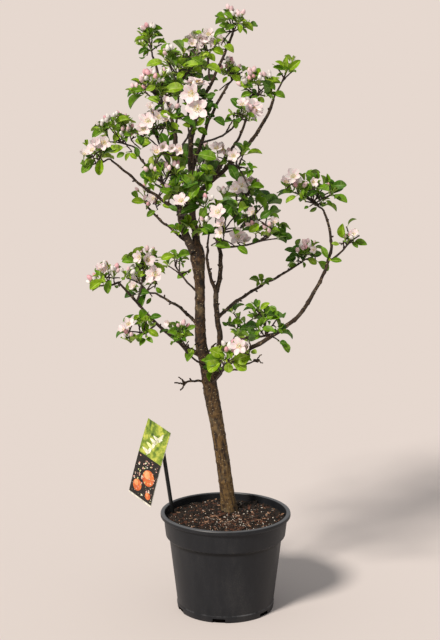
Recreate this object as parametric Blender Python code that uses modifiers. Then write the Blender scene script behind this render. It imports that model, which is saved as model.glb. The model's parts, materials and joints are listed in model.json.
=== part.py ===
"""A dwarf apple tree in blossom, in a moulded plastic pot with a plant label.

Metres, +Z up. The origin is the middle of the pot's flat underside, and the tree is seen
from -Y with +X to the right. Sizes are given in millimetres and turned to metres by MM.
The trunk follows a few stations. Every bough is one tapering limb from its parent to a tip,
bowed by a parabola and swayed by an S. Every foliage mass keeps to an egg-shaped space:
one stem, shoots that reach out evenly by the golden angle, and leaves, open flowers and
buds fused on. Parts that touch keep a gap of 0.3 mm.
"""

import math
import random

import bmesh
import bpy
from mathutils import Matrix, Vector
from mathutils.bvhtree import BVHTree

MM = 0.001
GAP = 0.3 * MM
MERGE = 0.01 * MM
UP = Vector((0, 0, 1))
GOLDEN_ANGLE = math.pi * (3 - math.sqrt(5))

# Pot: a round nursery pot with a rim bead, a rim band, a step and a tapering body
POT_SEGMENTS = 40
POT_HEIGHT = 214 * MM
POT_WALL = 2.6 * MM
POT_FLOOR = 3 * MM
RIM_RADIUS = 140 * MM
RIM_BEAD_HEIGHT = 9 * MM
RIM_BEAD_ROUND = 2.5 * MM
BAND_TOP_RADIUS = 133.5 * MM
BAND_FOOT_RADIUS = 129 * MM
BAND_FOOT_HEIGHT = 158 * MM
BODY_TOP_RADIUS = 119.5 * MM
BODY_TOP_HEIGHT = 148 * MM
FOOT_RADIUS = 103 * MM
FOOT_ROUND = 2 * MM
NOTCH_COUNT = 6
NOTCH_TURN = math.radians(-98)
NOTCH_WIDTH = 27 * MM
NOTCH_HEIGHT = 9 * MM
NOTCH_DEPTH = 12 * MM

# Compost: fills the pot, with a low flat mound round the trunk
SOIL_WALL_HEIGHT = 199 * MM
SOIL_MOUND_HEIGHT = 206 * MM
SOIL_MOUND_RADIUS = 66 * MM

# Plant label: a printed card, held by a stick in the compost inside the left of the rim
CARD_CENTRE = Vector((-167, 40, 310)) * MM
CARD_ACROSS = Vector((51, -54, -20)).normalized()
CARD_DOWN = Vector((-46, 20, -173)).normalized()
CARD_WIDTH = 77 * MM
CARD_HEIGHT = 180 * MM
CARD_THICKNESS = 1 * MM
STICK_FOOT = Vector((-116, 34, 201)) * MM
STICK_TOP_ACROSS = 22 * MM
STICK_TOP_UP = 50 * MM
STICK_WIDTH = 8 * MM
STICK_THICKNESS = 4.5 * MM

# Trunk: leans to the left, swells at its fork and flares at the compost
TRUNK_SIDES = 10
TRUNK_RINGS = 18
TRUNK_STATIONS = [  # x, y, z and radius, from below the compost to the fork
    (12, 36, 170, 15.5),
    (7, 34, 215, 15.2),
    (-3, 31, 297, 14.8),
    (-18, 28, 397, 14.6),
    (-30, 25, 465, 15.8),
    (-41, 20, 534, 14.2),
    (-51, 14, 570, 12.6),
    (-54, 8, 620, 11.2),
    (-54, 4, 690, 10.2),
    (-56, 1, 735, 12.0),
    (-59, 0, 769, 15.5),
    (-62, 0, 802, 11.5),
]
ROOT_FLARE = 4 * MM
ROOT_FLARE_HEIGHT = 16 * MM
FORK_OFFSETS = {  # where a leader starts beside the trunk's middle
    "left_leader": Vector((-6, -7, 0)) * MM,
    "right_leader": Vector((2, 9, 0)) * MM,
}

# Leaves, flowers and twigs
LEAF_LENGTH = 42 * MM
LEAF_WIDTH = 24 * MM
LEAF_FOLD = 2.4 * MM
LEAF_WIDEST = 0.56
LEAF_ROOM = 42 * MM
LEAF_SMALLEST = 0.72
LEAF_LARGEST = 1.12
WHORL_PLACES = 5
PETAL_LENGTH = 23 * MM
PETAL_WIDTH = 19 * MM
BUD_LENGTH = 13 * MM
BUD_RADIUS = 5.5 * MM
BUD_BELLY = 0.45
BUD_REACH = 0.66
BUD_TRIES = 8
BUD_STEP = 3
BUD_PLACES = 14
BUD_LOWEST = 11
STALK_RADIUS = 1.1 * MM
SHOOT_RADIUS = 1.5 * MM
SHOOT_TIP_RADIUS = 1.3 * MM
SHOOT_REACH = 0.54
SHOOT_LIFT = 0.55
SPRING_FIRST = 0.62
SPRING_LAST = 0.97
STEM_SIDES = 4
STEM_DROP = 0.35
STEM_KNEE = 8 * MM
STEM_KNEE_SHARE = 0.2
STEM_SAG = 0.05
STEM_SAG_PLACE = 0.55
STEM_TAPER = (1, 1, 0.95, 0.85)
TIP_SINK = 0.6
HUB_RISE = 1.3 * MM
HUB_CLEAR = 6 * MM
BLADE_PROBE = 0.9 * MM
TRY_SIZES = (1.0, 0.85, 0.7)
CLEARANCE = 0.8 * MM

# Colours of each kind of part: sRGB hex, roughness
FINISHES = {
    "pot": ("#26282a", 0.55),
    "soil": ("#3a2a20", 0.95),
    "bark": ("#5b4630", 0.85),
    "foliage": ("#6ea82b", 0.5),
    "stick": ("#1b1c1d", 0.5),
    "card": ("#5d8a35", 0.4),
}


class Blades:
    """The blades of one whorl: length, width and fold, spread from the axis in degrees, and chance."""

    def __init__(self, length, width, lift, spread, spread_range, size_range, grows):
        self.length = length
        self.width = width
        self.lift = lift
        self.spread = spread
        self.spread_range = spread_range
        self.size_range = size_range
        self.grows = grows


LEAVES = Blades(LEAF_LENGTH, LEAF_WIDTH, LEAF_FOLD, 66, 16, 0.12, grows=True)
PETALS = Blades(PETAL_LENGTH, PETAL_WIDTH, 0, 70, 4, 0.03, grows=False)


class Bough:
    """One tapering limb: where it springs from its parent, its tip, bow, sway and radii in mm."""

    def __init__(self, name, parent, at, tip, radii, bow=(0, 0), sway=(0, 0), sides=6, points=9):
        self.name = name
        self.parent = parent
        self.at = at
        self.tip = Vector(tip) * MM
        self.radii = [radius * MM for radius in radii]
        self.bow = Vector((bow[0], 0, bow[1])) * MM
        self.sway = Vector((sway[0], 0, sway[1])) * MM
        self.sides = sides
        self.points = points


class Mass:
    """One foliage mass: its carrier, the space it keeps to in mm, and how much it bears."""

    def __init__(self, name, carrier, at, centre, radii, shoots, flowers=0, buds=0, stem=2.4):
        self.name = name
        self.carrier = carrier
        self.at = at
        self.centre = Vector(centre) * MM
        self.radii = Vector(radii) * MM
        self.shoots = shoots
        self.flowers = flowers
        self.buds = buds
        self.stem_radius = stem * MM


BOUGHS = [  # name, parent, place on it, tip, root and tip radius, bow, sway
    Bough("second_stem", "trunk", 0.50, (-19, 5, 700), (6.6, 5.2), (13, 0), (-17, 0), sides=8),
    Bough("second_stem_fork", "second_stem", 0.97, (-18, 40, 836), (4.9, 3.6), (7, 0), (-6, 0)),
    Bough("left_leader", "trunk", 0.965, (-107, 20, 1035), (8.4, 4.6), (-15, -3), (12, 2), sides=8),
    Bough("right_leader", "trunk", 0.965, (-73, 20, 975), (7.8, 5.6), (-5, 0), sides=8),
    Bough("top_bough", "right_leader", 1.0, (14, 0, 1225), (4.6, 2.4), (-12, 4), (11, -4)),
    Bough("right_inner_bough", "right_leader", 0.80, (3, 60, 1118), (4.4, 2.5), (-6, 6)),
    Bough("left_top_bough", "left_leader", 1.0, (-151, 50, 1178), (3.6, 2.2), (2, 1)),
    Bough("right_upper_arm", "right_leader", 0.56, (99, 40, 1092), (5.4, 3.0), (14, -13), (7, -6)),
    Bough("right_upper_twin", "right_upper_arm", 0.22, (50, -60, 1098), (3.2, 2.2), (8, -7), (6, -6)),
    Bough("right_lower_arm", "second_stem", 0.06, (171, -30, 675), (5.2, 4.0), (1, -2), (14, -17)),
    Bough("right_lower_riser", "right_lower_arm", 1.0, (203, -20, 862), (3.9, 2.4), (26, -4), (7, 0)),
    Bough("right_middle_bough", "second_stem", 0.70, (160, 170, 727), (3.6, 2.3), (-2, 6), (2, -6)),
    Bough("right_front_bough", "second_stem", 0.34, (56, -138, 625), (3.3, 2.3), (-2, 8)),
    Bough("left_lower_arm", "trunk", 0.60, (-217, -60, 719), (4.3, 2.2), (-5, -12), (4, 3)),
    Bough("left_middle_bough", "trunk", 0.70, (-151, 150, 664), (3.6, 2.3), (2, 9), (-1, -4)),
    Bough("left_fork_bough", "trunk", 0.97, (-166, 45, 868), (3.4, 2.2), (-1, -3)),
    Bough("left_long_arm", "left_leader", 0.34, (-233, -30, 969), (3.6, 2.1), (-2, -3), (2, 2)),
    Bough("left_back_arm", "left_leader", 0.46, (-196, 150, 983), (3.4, 2.1), (-3, -9)),
    Bough("bare_spur", "trunk", 0.515, (-90, 4, 496), (2.6, 2.0), (0, 3), points=4),
]

MASSES = [  # name, carrier, place on it, centre, radii, shoots, flowers, buds
    Mass("foliage_top", "top_bough", 1.0, (16, 0, 1242), (50, 48, 37), 4, 0, 3, stem=2.0),
    Mass("foliage_top_left", "left_top_bough", 1.0, (-154, 50, 1209), (41, 41, 39), 4, 0, 2, stem=2.0),
    Mass("foliage_top_blossom", "top_bough", 0.62, (-38, 55, 1203), (45, 43, 30), 4, 3, 1),
    Mass("foliage_upper_front", "left_leader", 0.97, (-92, -60, 1166), (65, 54, 39), 7, 0, 1),
    Mass("foliage_upper_back", "right_leader", 0.99, (-83, 150, 1140), (63, 56, 48), 6, 2, 1),
    Mass("foliage_upper_right", "right_inner_bough", 1.0, (18, 72, 1147), (32, 39, 30), 3, 0, 2),
    Mass("foliage_right_tuft", "right_upper_twin", 1.0, (66, -60, 1116), (43, 41, 39), 4, 0, 4),
    Mass("foliage_right_tip", "right_upper_arm", 1.0, (124, 20, 1156), (35, 37, 26), 3, 0, 0, stem=2.2),
    Mass("foliage_left_crown", "left_leader", 0.99, (-134, -125, 1115), (60, 50, 41), 7, 0, 4),
    Mass("foliage_front_blossom", "left_leader", 0.80, (-56, -150, 1086), (39, 37, 48), 5, 3, 0),
    Mass("foliage_left_blossom", "left_leader", 0.66, (-134, -130, 1029), (45, 43, 39), 5, 2, 2),
    Mass("foliage_far_left_back", "left_back_arm", 1.0, (-233, 135, 1018), (56, 50, 45), 5, 1, 3, stem=2.0),
    Mass("foliage_far_left", "left_long_arm", 1.0, (-266, -30, 976), (38, 40, 40), 4, 1, 3, stem=2.0),
    Mass("foliage_right_inner", "right_inner_bough", 0.35, (30, -140, 1067), (39, 39, 30), 3, 1, 1),
    Mass("foliage_centre_front", "left_leader", 0.30, (-69, -130, 908), (56, 50, 50), 7, 1, 2),
    Mass("foliage_centre_left", "left_leader", 0.42, (-126, -125, 951), (48, 45, 48), 6, 2, 2),
    Mass("foliage_centre_back", "right_leader", 0.62, (-61, 165, 943), (69, 60, 63), 6, 2, 1),
    Mass("foliage_right_centre", "right_upper_arm", 0.45, (25, -100, 972), (52, 45, 37), 4, 1, 2),
    Mass("foliage_blossom_front", "second_stem_fork", 0.99, (-2, -130, 856), (52, 45, 54), 6, 3, 2),
    Mass("foliage_blossom_high", "second_stem_fork", 1.0, (40, -20, 905), (48, 43, 37), 5, 1, 2),
    Mass("foliage_blossom_right", "second_stem_fork", 0.62, (88, -30, 825), (52, 45, 37), 4, 1, 2),
    Mass("foliage_blossom_back", "second_stem_fork", 0.85, (59, 165, 846), (65, 56, 58), 6, 2, 1),
    Mass("foliage_riser_top", "right_lower_riser", 1.0, (178, -20, 902), (78, 60, 45), 8, 1, 3, stem=2.2),
    Mass("foliage_riser_side", "right_lower_riser", 0.52, (256, -60, 822), (45, 43, 34), 4, 0, 2),
    Mass("foliage_right_middle", "right_middle_bough", 1.0, (174, 180, 748), (50, 48, 35), 5, 0, 2),
    Mass("foliage_right_low", "right_front_bough", 1.0, (83, -160, 652), (54, 50, 60), 6, 0, 0),
    Mass("foliage_right_low_back", "second_stem", 0.38, (37, 165, 603), (54, 50, 41), 4, 1, 1),
    Mass("foliage_front_low", "trunk", 0.52, (0, -115, 574), (54, 48, 32), 5, 1, 1),
    Mass("foliage_left_tip", "left_lower_arm", 1.0, (-240, -60, 728), (48, 43, 35), 4, 1, 3, stem=2.1),
    Mass("foliage_left_arm_top", "left_lower_arm", 0.80, (-170, -20, 752), (50, 39, 37), 4, 1, 2),
    Mass("foliage_left_middle", "left_middle_bough", 1.0, (-180, 150, 687), (50, 48, 48), 4, 2, 0),
    Mass("foliage_left_inner", "trunk", 0.83, (-108, 75, 748), (39, 39, 28), 3, 0, 0),
    Mass("foliage_left_low", "left_lower_arm", 0.55, (-175, -110, 634), (48, 43, 35), 4, 1, 1),
    Mass("foliage_left_low_inner", "trunk", 0.59, (-97, -100, 617), (43, 39, 30), 3, 1, 1),
    Mass("foliage_left_fork", "left_fork_bough", 1.0, (-166, 42, 883), (37, 37, 26), 3, 0, 2, stem=2.0),
]


def clear_scene():
    """Remove every object, mesh and curve of the scene, so the file can be run again."""
    for item in list(bpy.data.objects):
        bpy.data.objects.remove(item, do_unlink=True)
    for group in (bpy.data.meshes, bpy.data.curves, bpy.data.materials):
        for item in list(group):
            group.remove(item)
    for item in list(bpy.data.collections):
        bpy.data.collections.remove(item)


def new_collection(name):
    """A new collection in the scene."""
    collection = bpy.data.collections.new(name)
    bpy.context.scene.collection.children.link(collection)
    return collection


def linear(hex_colour):
    """An sRGB hex colour as linear red, green, blue and alpha."""
    values = [int(hex_colour[i:i + 2], 16) / 255 for i in (1, 3, 5)]
    return [((v + 0.055) / 1.055) ** 2.4 if v > 0.04045 else v / 12.92 for v in values] + [1]


def dress(part, kind):
    """Give a part its own Principled BSDF with the colour and roughness of its kind."""
    colour, roughness = FINISHES[kind]
    material = bpy.data.materials.new(part.name + "_finish")
    material.use_nodes = True
    shader = material.node_tree.nodes["Principled BSDF"]
    shader.inputs["Base Color"].default_value = linear(colour)
    shader.inputs["Roughness"].default_value = roughness
    shader.inputs["Metallic"].default_value = 0
    part.data.materials.clear()
    part.data.materials.append(material)


def add_object(name, mesh, collection):
    """A new object that holds a mesh, in a collection."""
    part = bpy.data.objects.new(name, mesh)
    collection.objects.link(part)
    return part


def named(item, name, collection):
    """Name an object and move it to a collection."""
    item.name = name
    for holder in list(item.users_collection):
        holder.objects.unlink(item)
    collection.objects.link(item)
    return item


def as_cutter(item):
    """Hide a cutter from renders and draw it as wires."""
    item.hide_render = True
    item.display_type = "WIRE"
    return item


def applied(item):
    """Replace an object's mesh with its evaluated mesh, and drop its modifiers."""
    graph = bpy.context.evaluated_depsgraph_get()
    mesh = bpy.data.meshes.new_from_object(item.evaluated_get(graph))
    item.modifiers.clear()
    item.data = mesh
    return item


def cut(item, cutter):
    """Cut one mesh object by another with an exact Boolean, and apply it."""
    boolean = item.modifiers.new("cut", "BOOLEAN")
    boolean.operation = "DIFFERENCE"
    boolean.solver = "EXACT"
    boolean.object = cutter
    return applied(item)


def turned(name, profile, collection, segments=POT_SEGMENTS):
    """A turned solid: a closed or axis-to-axis profile of (radius, height) and a Screw modifier."""
    builder = bmesh.new()
    points = [builder.verts.new((radius, 0, height)) for radius, height in profile]
    for first, second in zip(points, points[1:]):
        builder.edges.new((first, second))
    mesh = bpy.data.meshes.new(name)
    builder.to_mesh(mesh)
    builder.free()
    part = add_object(name, mesh, collection)
    screw = part.modifiers.new("turn", "SCREW")
    screw.steps = segments
    screw.render_steps = segments
    screw.use_merge_vertices = True
    screw.merge_threshold = MERGE
    return applied(part)


def smooth_along(values, fraction):
    """A value on a smooth Catmull-Rom curve through equally spaced values, 0 to 1."""
    last = len(values) - 1
    place = min(max(fraction, 0), 1) * last
    index = min(int(place), last - 1)
    t = place - index
    before = values[max(index - 1, 0)]
    first, second = values[index], values[index + 1]
    after = values[min(index + 2, last)]
    return 0.5 * (
        2 * first
        + (second - before) * t
        + (2 * before - 5 * first + 4 * second - after) * t ** 2
        + (3 * first - before - 3 * second + after) * t ** 3
    )


def tube_mesh(name, points, radii, sides):
    """A tapering tube through points: a poly curve with a round bevel and welded caps, as a mesh."""
    curve = bpy.data.curves.new(name, "CURVE")
    curve.dimensions = "3D"
    curve.bevel_depth = 1.0
    curve.bevel_resolution = sides // 2 - 2
    curve.use_fill_caps = True
    spline = curve.splines.new("POLY")
    spline.points.add(len(points) - 1)
    for knot, point, radius in zip(spline.points, points, radii):
        knot.co = (*point, 1)
        knot.radius = radius
    item = bpy.data.objects.new(name, curve)
    bpy.context.scene.collection.objects.link(item)
    graph = bpy.context.evaluated_depsgraph_get()
    mesh = bpy.data.meshes.new_from_object(item.evaluated_get(graph))
    bpy.data.objects.remove(item)
    bpy.data.curves.remove(curve)
    builder = bmesh.new()
    builder.from_mesh(mesh)
    bmesh.ops.remove_doubles(builder, verts=builder.verts, dist=MERGE)
    bmesh.ops.recalc_face_normals(builder, faces=builder.faces)
    builder.to_mesh(mesh)
    builder.free()
    return mesh


class Limb:
    """A limb's path and radii, which boughs and foliage stems read to find their place."""

    def __init__(self, points, radii, sides):
        self.points = points
        self.radii = radii
        self.sides = sides

    def place(self, fraction):
        """The point, direction and radius at a fraction of the limb's length."""
        steps = [0]
        for first, second in zip(self.points, self.points[1:]):
            steps.append(steps[-1] + (second - first).length)
        goal = fraction * steps[-1]
        index = 0
        while index < len(self.points) - 2 and steps[index + 1] < goal:
            index += 1
        share = (goal - steps[index]) / (steps[index + 1] - steps[index])
        first, second = self.points[index], self.points[index + 1]
        radius = self.radii[index] + share * (self.radii[index + 1] - self.radii[index])
        return first.lerp(second, share), (second - first).normalized(), radius

    def mesh(self, name, extra=0.0):
        """The limb's solid, grown by a clearance round it and past its tip where it is a cutter."""
        last = self.points[-1]
        tip = last + (last - self.points[-2]).normalized() * extra
        radii = [radius + extra for radius in self.radii]
        return tube_mesh(name, self.points[:-1] + [tip], radii, self.sides)


def bowed_path(start, tip, bow, sway, count):
    """Points of a limb: a straight run plus a parabola of height bow and an S of height sway."""
    path = []
    for step in range(count):
        t = step / (count - 1)
        arch = 4 * t * (1 - t)
        path.append(start.lerp(tip, t) + arch * bow + arch * (2 * t - 1) * sway)
    return path


def make_pot(collection, cutters):
    """The pot: a turned wall of even thickness on a flat floor, with notches in its foot."""
    bead_base = POT_HEIGHT - RIM_BEAD_HEIGHT
    slope = (BODY_TOP_RADIUS - FOOT_RADIUS) / BODY_TOP_HEIGHT
    floor_radius = FOOT_RADIUS + slope * POT_FLOOR - POT_WALL
    profile = [
        (BAND_TOP_RADIUS - POT_WALL, POT_HEIGHT - RIM_BEAD_ROUND),
        (BAND_TOP_RADIUS - POT_WALL + RIM_BEAD_ROUND, POT_HEIGHT),
        (RIM_RADIUS - RIM_BEAD_ROUND, POT_HEIGHT),
        (RIM_RADIUS, POT_HEIGHT - RIM_BEAD_ROUND),
        (RIM_RADIUS, bead_base + RIM_BEAD_ROUND),
        (RIM_RADIUS - RIM_BEAD_ROUND, bead_base),
        (BAND_TOP_RADIUS, bead_base),
        (BAND_FOOT_RADIUS, BAND_FOOT_HEIGHT),
        (BODY_TOP_RADIUS, BODY_TOP_HEIGHT),
        (FOOT_RADIUS, FOOT_ROUND),
        (FOOT_RADIUS - FOOT_ROUND, 0),
        (0, 0),
    ]
    inside = [
        (0, POT_FLOOR),
        (floor_radius, POT_FLOOR),
        (BODY_TOP_RADIUS - POT_WALL, BODY_TOP_HEIGHT),
        (BAND_FOOT_RADIUS - POT_WALL, BAND_FOOT_HEIGHT + POT_WALL),
        profile[0],
    ]
    pot = turned("pot", profile + inside, collection)
    for index in range(NOTCH_COUNT):
        angle = NOTCH_TURN + index * math.tau / NOTCH_COUNT
        bpy.ops.mesh.primitive_cube_add(size=1)
        notch = as_cutter(named(bpy.context.object, "notch_cutter_%d" % (index + 1), cutters))
        notch.scale = (2 * NOTCH_DEPTH, NOTCH_WIDTH, 2 * NOTCH_HEIGHT)
        notch.rotation_euler = (0, 0, angle)
        notch.location = (FOOT_RADIUS * math.cos(angle), FOOT_RADIUS * math.sin(angle), 0)
        bpy.context.view_layer.update()
        cut(pot, notch)
    dress(pot, "pot")
    return pot


def make_soil(collection):
    """The compost: a turned block 0.3 mm inside the pot, rising to a flat mound at the trunk."""
    slope = (BODY_TOP_RADIUS - FOOT_RADIUS) / BODY_TOP_HEIGHT
    low = NOTCH_HEIGHT + 2 * GAP
    wall = POT_WALL + 2 * GAP
    band_slope = (BAND_TOP_RADIUS - BAND_FOOT_RADIUS) / (POT_HEIGHT - BAND_FOOT_HEIGHT)
    top_radius = BAND_FOOT_RADIUS + band_slope * (SOIL_WALL_HEIGHT - BAND_FOOT_HEIGHT) - wall
    profile = [
        (0, SOIL_MOUND_HEIGHT),
        (SOIL_MOUND_RADIUS, SOIL_MOUND_HEIGHT),
        (top_radius, SOIL_WALL_HEIGHT),
        (BAND_FOOT_RADIUS - wall, BAND_FOOT_HEIGHT + wall),
        (BODY_TOP_RADIUS - wall, BODY_TOP_HEIGHT),
        (FOOT_RADIUS + slope * low - wall, low),
        (FOOT_RADIUS - NOTCH_DEPTH - 2 * GAP, low),
        (FOOT_RADIUS - NOTCH_DEPTH - 2 * GAP, POT_FLOOR + GAP),
        (0, POT_FLOOR + GAP),
    ]
    soil = turned("soil", profile, collection)
    dress(soil, "soil")
    return soil


def make_box(name, size, across, upward, centre, collection):
    """A box of a given size, turned so that +X runs across and +Z upward, at its centre."""
    bpy.ops.mesh.primitive_cube_add(size=1)
    box = named(bpy.context.object, name, collection)
    box.data.transform(Matrix.Diagonal((*size, 1)))
    across = (across - upward * across.dot(upward)).normalized()
    box.rotation_mode = "QUATERNION"
    box.rotation_quaternion = Matrix((across, upward.cross(across), upward)).transposed().to_quaternion()
    box.location = centre
    return box


def make_label(collection):
    """The plant label: a card that leans and turns, and a flat stick that touches its back."""
    upward = -CARD_DOWN
    size = (CARD_WIDTH, CARD_THICKNESS, CARD_HEIGHT)
    card = make_box("label_card", size, CARD_ACROSS, upward, CARD_CENTRE, collection)
    dress(card, "card")
    back = upward.cross(CARD_ACROSS).normalized()
    behind = back * (CARD_THICKNESS / 2 + STICK_THICKNESS / 2 + GAP)
    top = CARD_CENTRE + CARD_ACROSS * STICK_TOP_ACROSS + upward * STICK_TOP_UP + behind
    run = top - STICK_FOOT
    size = (STICK_WIDTH, STICK_THICKNESS, run.length)
    middle = (STICK_FOOT + top) / 2
    stick = make_box("label_stick", size, CARD_ACROSS, run.normalized(), middle, collection)
    dress(stick, "stick")


def make_trunk(collection, cutters):
    """The trunk: a smooth tube through its stations, cut flat 0.3 mm above the compost."""
    columns = [[station[k] * MM for station in TRUNK_STATIONS] for k in range(4)]
    count = TRUNK_RINGS
    level = SOIL_MOUND_HEIGHT + GAP
    points = []
    radii = []
    for step in range(count):
        x, y, z, radius = (smooth_along(column, step / (count - 1)) for column in columns)
        points.append(Vector((x, y, z)))
        radii.append(radius + ROOT_FLARE * math.exp(-max(z - level, 0) / ROOT_FLARE_HEIGHT))
    limb = Limb(points, radii, TRUNK_SIDES)
    trunk = add_object("trunk", limb.mesh("trunk"), collection)
    half = 2 * SOIL_MOUND_RADIUS
    bpy.ops.mesh.primitive_cube_add(size=2 * half, location=(0, 0, level - half))
    below = as_cutter(named(bpy.context.object, "compost_level_cutter", cutters))
    cut(trunk, below)
    dress(trunk, "bark")
    return limb


def make_bough(bough, limbs, collection, cutters):
    """One bough: from its parent's middle to its tip, cut 0.3 mm clear of its parent."""
    parent = limbs[bough.parent]
    start, direction, radius = parent.place(bough.at)
    if bough.at == 1.0:
        start = start - direction * radius * TIP_SINK
    start = start + FORK_OFFSETS.get(bough.name, Vector())
    points = bowed_path(start, bough.tip, bough.bow, bough.sway, bough.points)
    root, tip = bough.radii
    radii = [root + (tip - root) * step / (bough.points - 1) for step in range(bough.points)]
    limb = Limb(points, radii, bough.sides)
    part = add_object(bough.name, limb.mesh(bough.name), collection)
    cutter = add_object(bough.name + "_cutter", parent.mesh(bough.name + "_cutter", GAP), cutters)
    as_cutter(cutter)
    cut(part, cutter)
    keep_largest(part)
    dress(part, "bark")
    return limb


def is_one_body(part):
    """Whether an object's evaluated mesh has two faces at each edge, apart from loose shells."""
    graph = bpy.context.evaluated_depsgraph_get()
    builder = bmesh.new()
    builder.from_object(part, graph)
    bmesh.ops.remove_doubles(builder, verts=builder.verts, dist=MERGE)
    closed = all(len(edge.link_faces) == 2 for edge in builder.edges)
    builder.free()
    return closed


def keep_largest(part):
    """Keep a mesh's largest shell, which drops loose scraps and fills sealed hollows."""
    builder = bmesh.new()
    builder.from_mesh(part.data)
    bmesh.ops.remove_doubles(builder, verts=builder.verts, dist=MERGE)
    unseen = dict.fromkeys(builder.faces)
    shells = []
    while unseen:
        front = [next(iter(unseen))]
        shell = dict.fromkeys(front)
        while front:
            for edge in front.pop().edges:
                if len(edge.link_faces) == 2:
                    fresh = [face for face in edge.link_faces if face not in shell]
                    shell.update(dict.fromkeys(fresh))
                    front += fresh
        shells.append(shell)
        for face in shell:
            unseen.pop(face)
    biggest = max(shells, key=len)
    loose = [face for face in builder.faces if face not in biggest]
    bmesh.ops.delete(builder, geom=loose, context="FACES")
    builder.to_mesh(part.data)
    builder.free()
    return part


def blade_points(hub, axis, angle, spread, length, width, lift):
    """A leaf's or petal's left, tip and right points, on a whorl about an axis at a hub."""
    frame = frame_towards(hub, axis).to_3x3()
    radial = frame @ Vector((math.cos(angle), math.sin(angle), 0))
    across = frame @ Vector((-math.sin(angle), math.cos(angle), 0))
    way = axis * math.cos(spread) + radial * math.sin(spread)
    upward = axis * math.sin(spread) - radial * math.cos(spread)
    middle = hub + way * LEAF_WIDEST * length + upward * lift
    return middle - across * width / 2, hub + way * length, middle + across * width / 2


def whorl_mesh(root, hub, axis, turn, blades):
    """A shoot from root to hub with a whorl of blades, as one closed mesh.

    The shoot has as many sides as the whorl has places. A place with no blade is closed
    by one face. A blade is a folded diamond, thick at the hub and thin at its edge.
    """
    count = len(blades)
    axis = axis.normalized()
    top = frame_towards(hub, axis)
    foot = frame_towards(root, hub - root, top.to_3x3() @ Vector((0, 1, 0)))
    builder = bmesh.new()
    rings = []
    for frame, radius in ((foot, SHOOT_RADIUS), (top, SHOOT_TIP_RADIUS)):
        angles = [turn + (place - 0.5) * math.tau / count for place in range(count)]
        rings.append([
            builder.verts.new(frame @ Vector((radius * math.cos(a), radius * math.sin(a), 0))) for a in angles
        ])
    crown = builder.verts.new(hub + axis * HUB_RISE)
    builder.faces.new(rings[0][::-1])
    for place, blade in enumerate(blades):
        after = (place + 1) % count
        near, far = rings[1][place], rings[1][after]
        builder.faces.new((rings[0][place], rings[0][after], far, near))
        if blade is None:
            builder.faces.new((crown, near, far))
            continue
        left, tip, right = (builder.verts.new(point) for point in blade)
        for corners in (
            (crown, near, left), (crown, left, tip), (crown, tip, right), (crown, right, far),
            (near, tip, left), (near, far, tip), (far, right, tip),
        ):
            builder.faces.new(corners)
    bmesh.ops.recalc_face_normals(builder, faces=builder.faces)
    mesh = bpy.data.meshes.new("whorl")
    builder.to_mesh(mesh)
    builder.free()
    return mesh


def bud_mesh(root, foot, axis):
    """A closed bud on its stalk: three-sided rings from the root to the bud's point."""
    top = frame_towards(foot, axis)
    start = frame_towards(root, foot - root, top.to_3x3() @ Vector((0, 1, 0)))
    belly = frame_towards(foot + axis * BUD_BELLY * BUD_LENGTH, axis)
    builder = bmesh.new()
    rings = []
    for frame, radius in ((start, STALK_RADIUS), (top, STALK_RADIUS), (belly, BUD_RADIUS)):
        angles = [place * math.tau / 3 for place in range(3)]
        rings.append([
            builder.verts.new(frame @ Vector((radius * math.cos(a), radius * math.sin(a), 0))) for a in angles
        ])
    point = builder.verts.new(foot + axis * BUD_LENGTH)
    builder.faces.new(rings[0][::-1])
    for place in range(3):
        after = (place + 1) % 3
        for low, high in zip(rings, rings[1:]):
            builder.faces.new((low[place], low[after], high[after], high[place]))
        builder.faces.new((rings[2][place], rings[2][after], point))
    bmesh.ops.recalc_face_normals(builder, faces=builder.faces)
    mesh = bpy.data.meshes.new("bud")
    builder.to_mesh(mesh)
    builder.free()
    return mesh


def frame_towards(origin, direction, face_up=UP):
    """A matrix whose +Z is a direction and whose +Y is as near to face_up as it can be."""
    z_axis = direction.normalized()
    y_axis = face_up - z_axis * face_up.dot(z_axis)
    if y_axis.length < 0.05:
        y_axis = Vector((1, 0, 0)) - z_axis * z_axis.x
    y_axis.normalize()
    x_axis = y_axis.cross(z_axis)
    turn = Matrix((x_axis, y_axis, z_axis)).transposed().to_4x4()
    return Matrix.Translation(origin) @ turn


def spiral_direction(index, count, turn):
    """Direction number index of count, spread evenly over a ball by the golden angle."""
    height = 1 - 2 * (index + 0.5) / count
    ring = math.sqrt(1 - height * height)
    angle = index * GOLDEN_ANGLE + turn
    return Vector((ring * math.cos(angle), ring * math.sin(angle), height))


def tree_of(mesh):
    """A search tree over the faces of a mesh."""
    verts = [vert.co for vert in mesh.vertices]
    return BVHTree.FromPolygons(verts, [list(face.vertices) for face in mesh.polygons])


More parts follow.
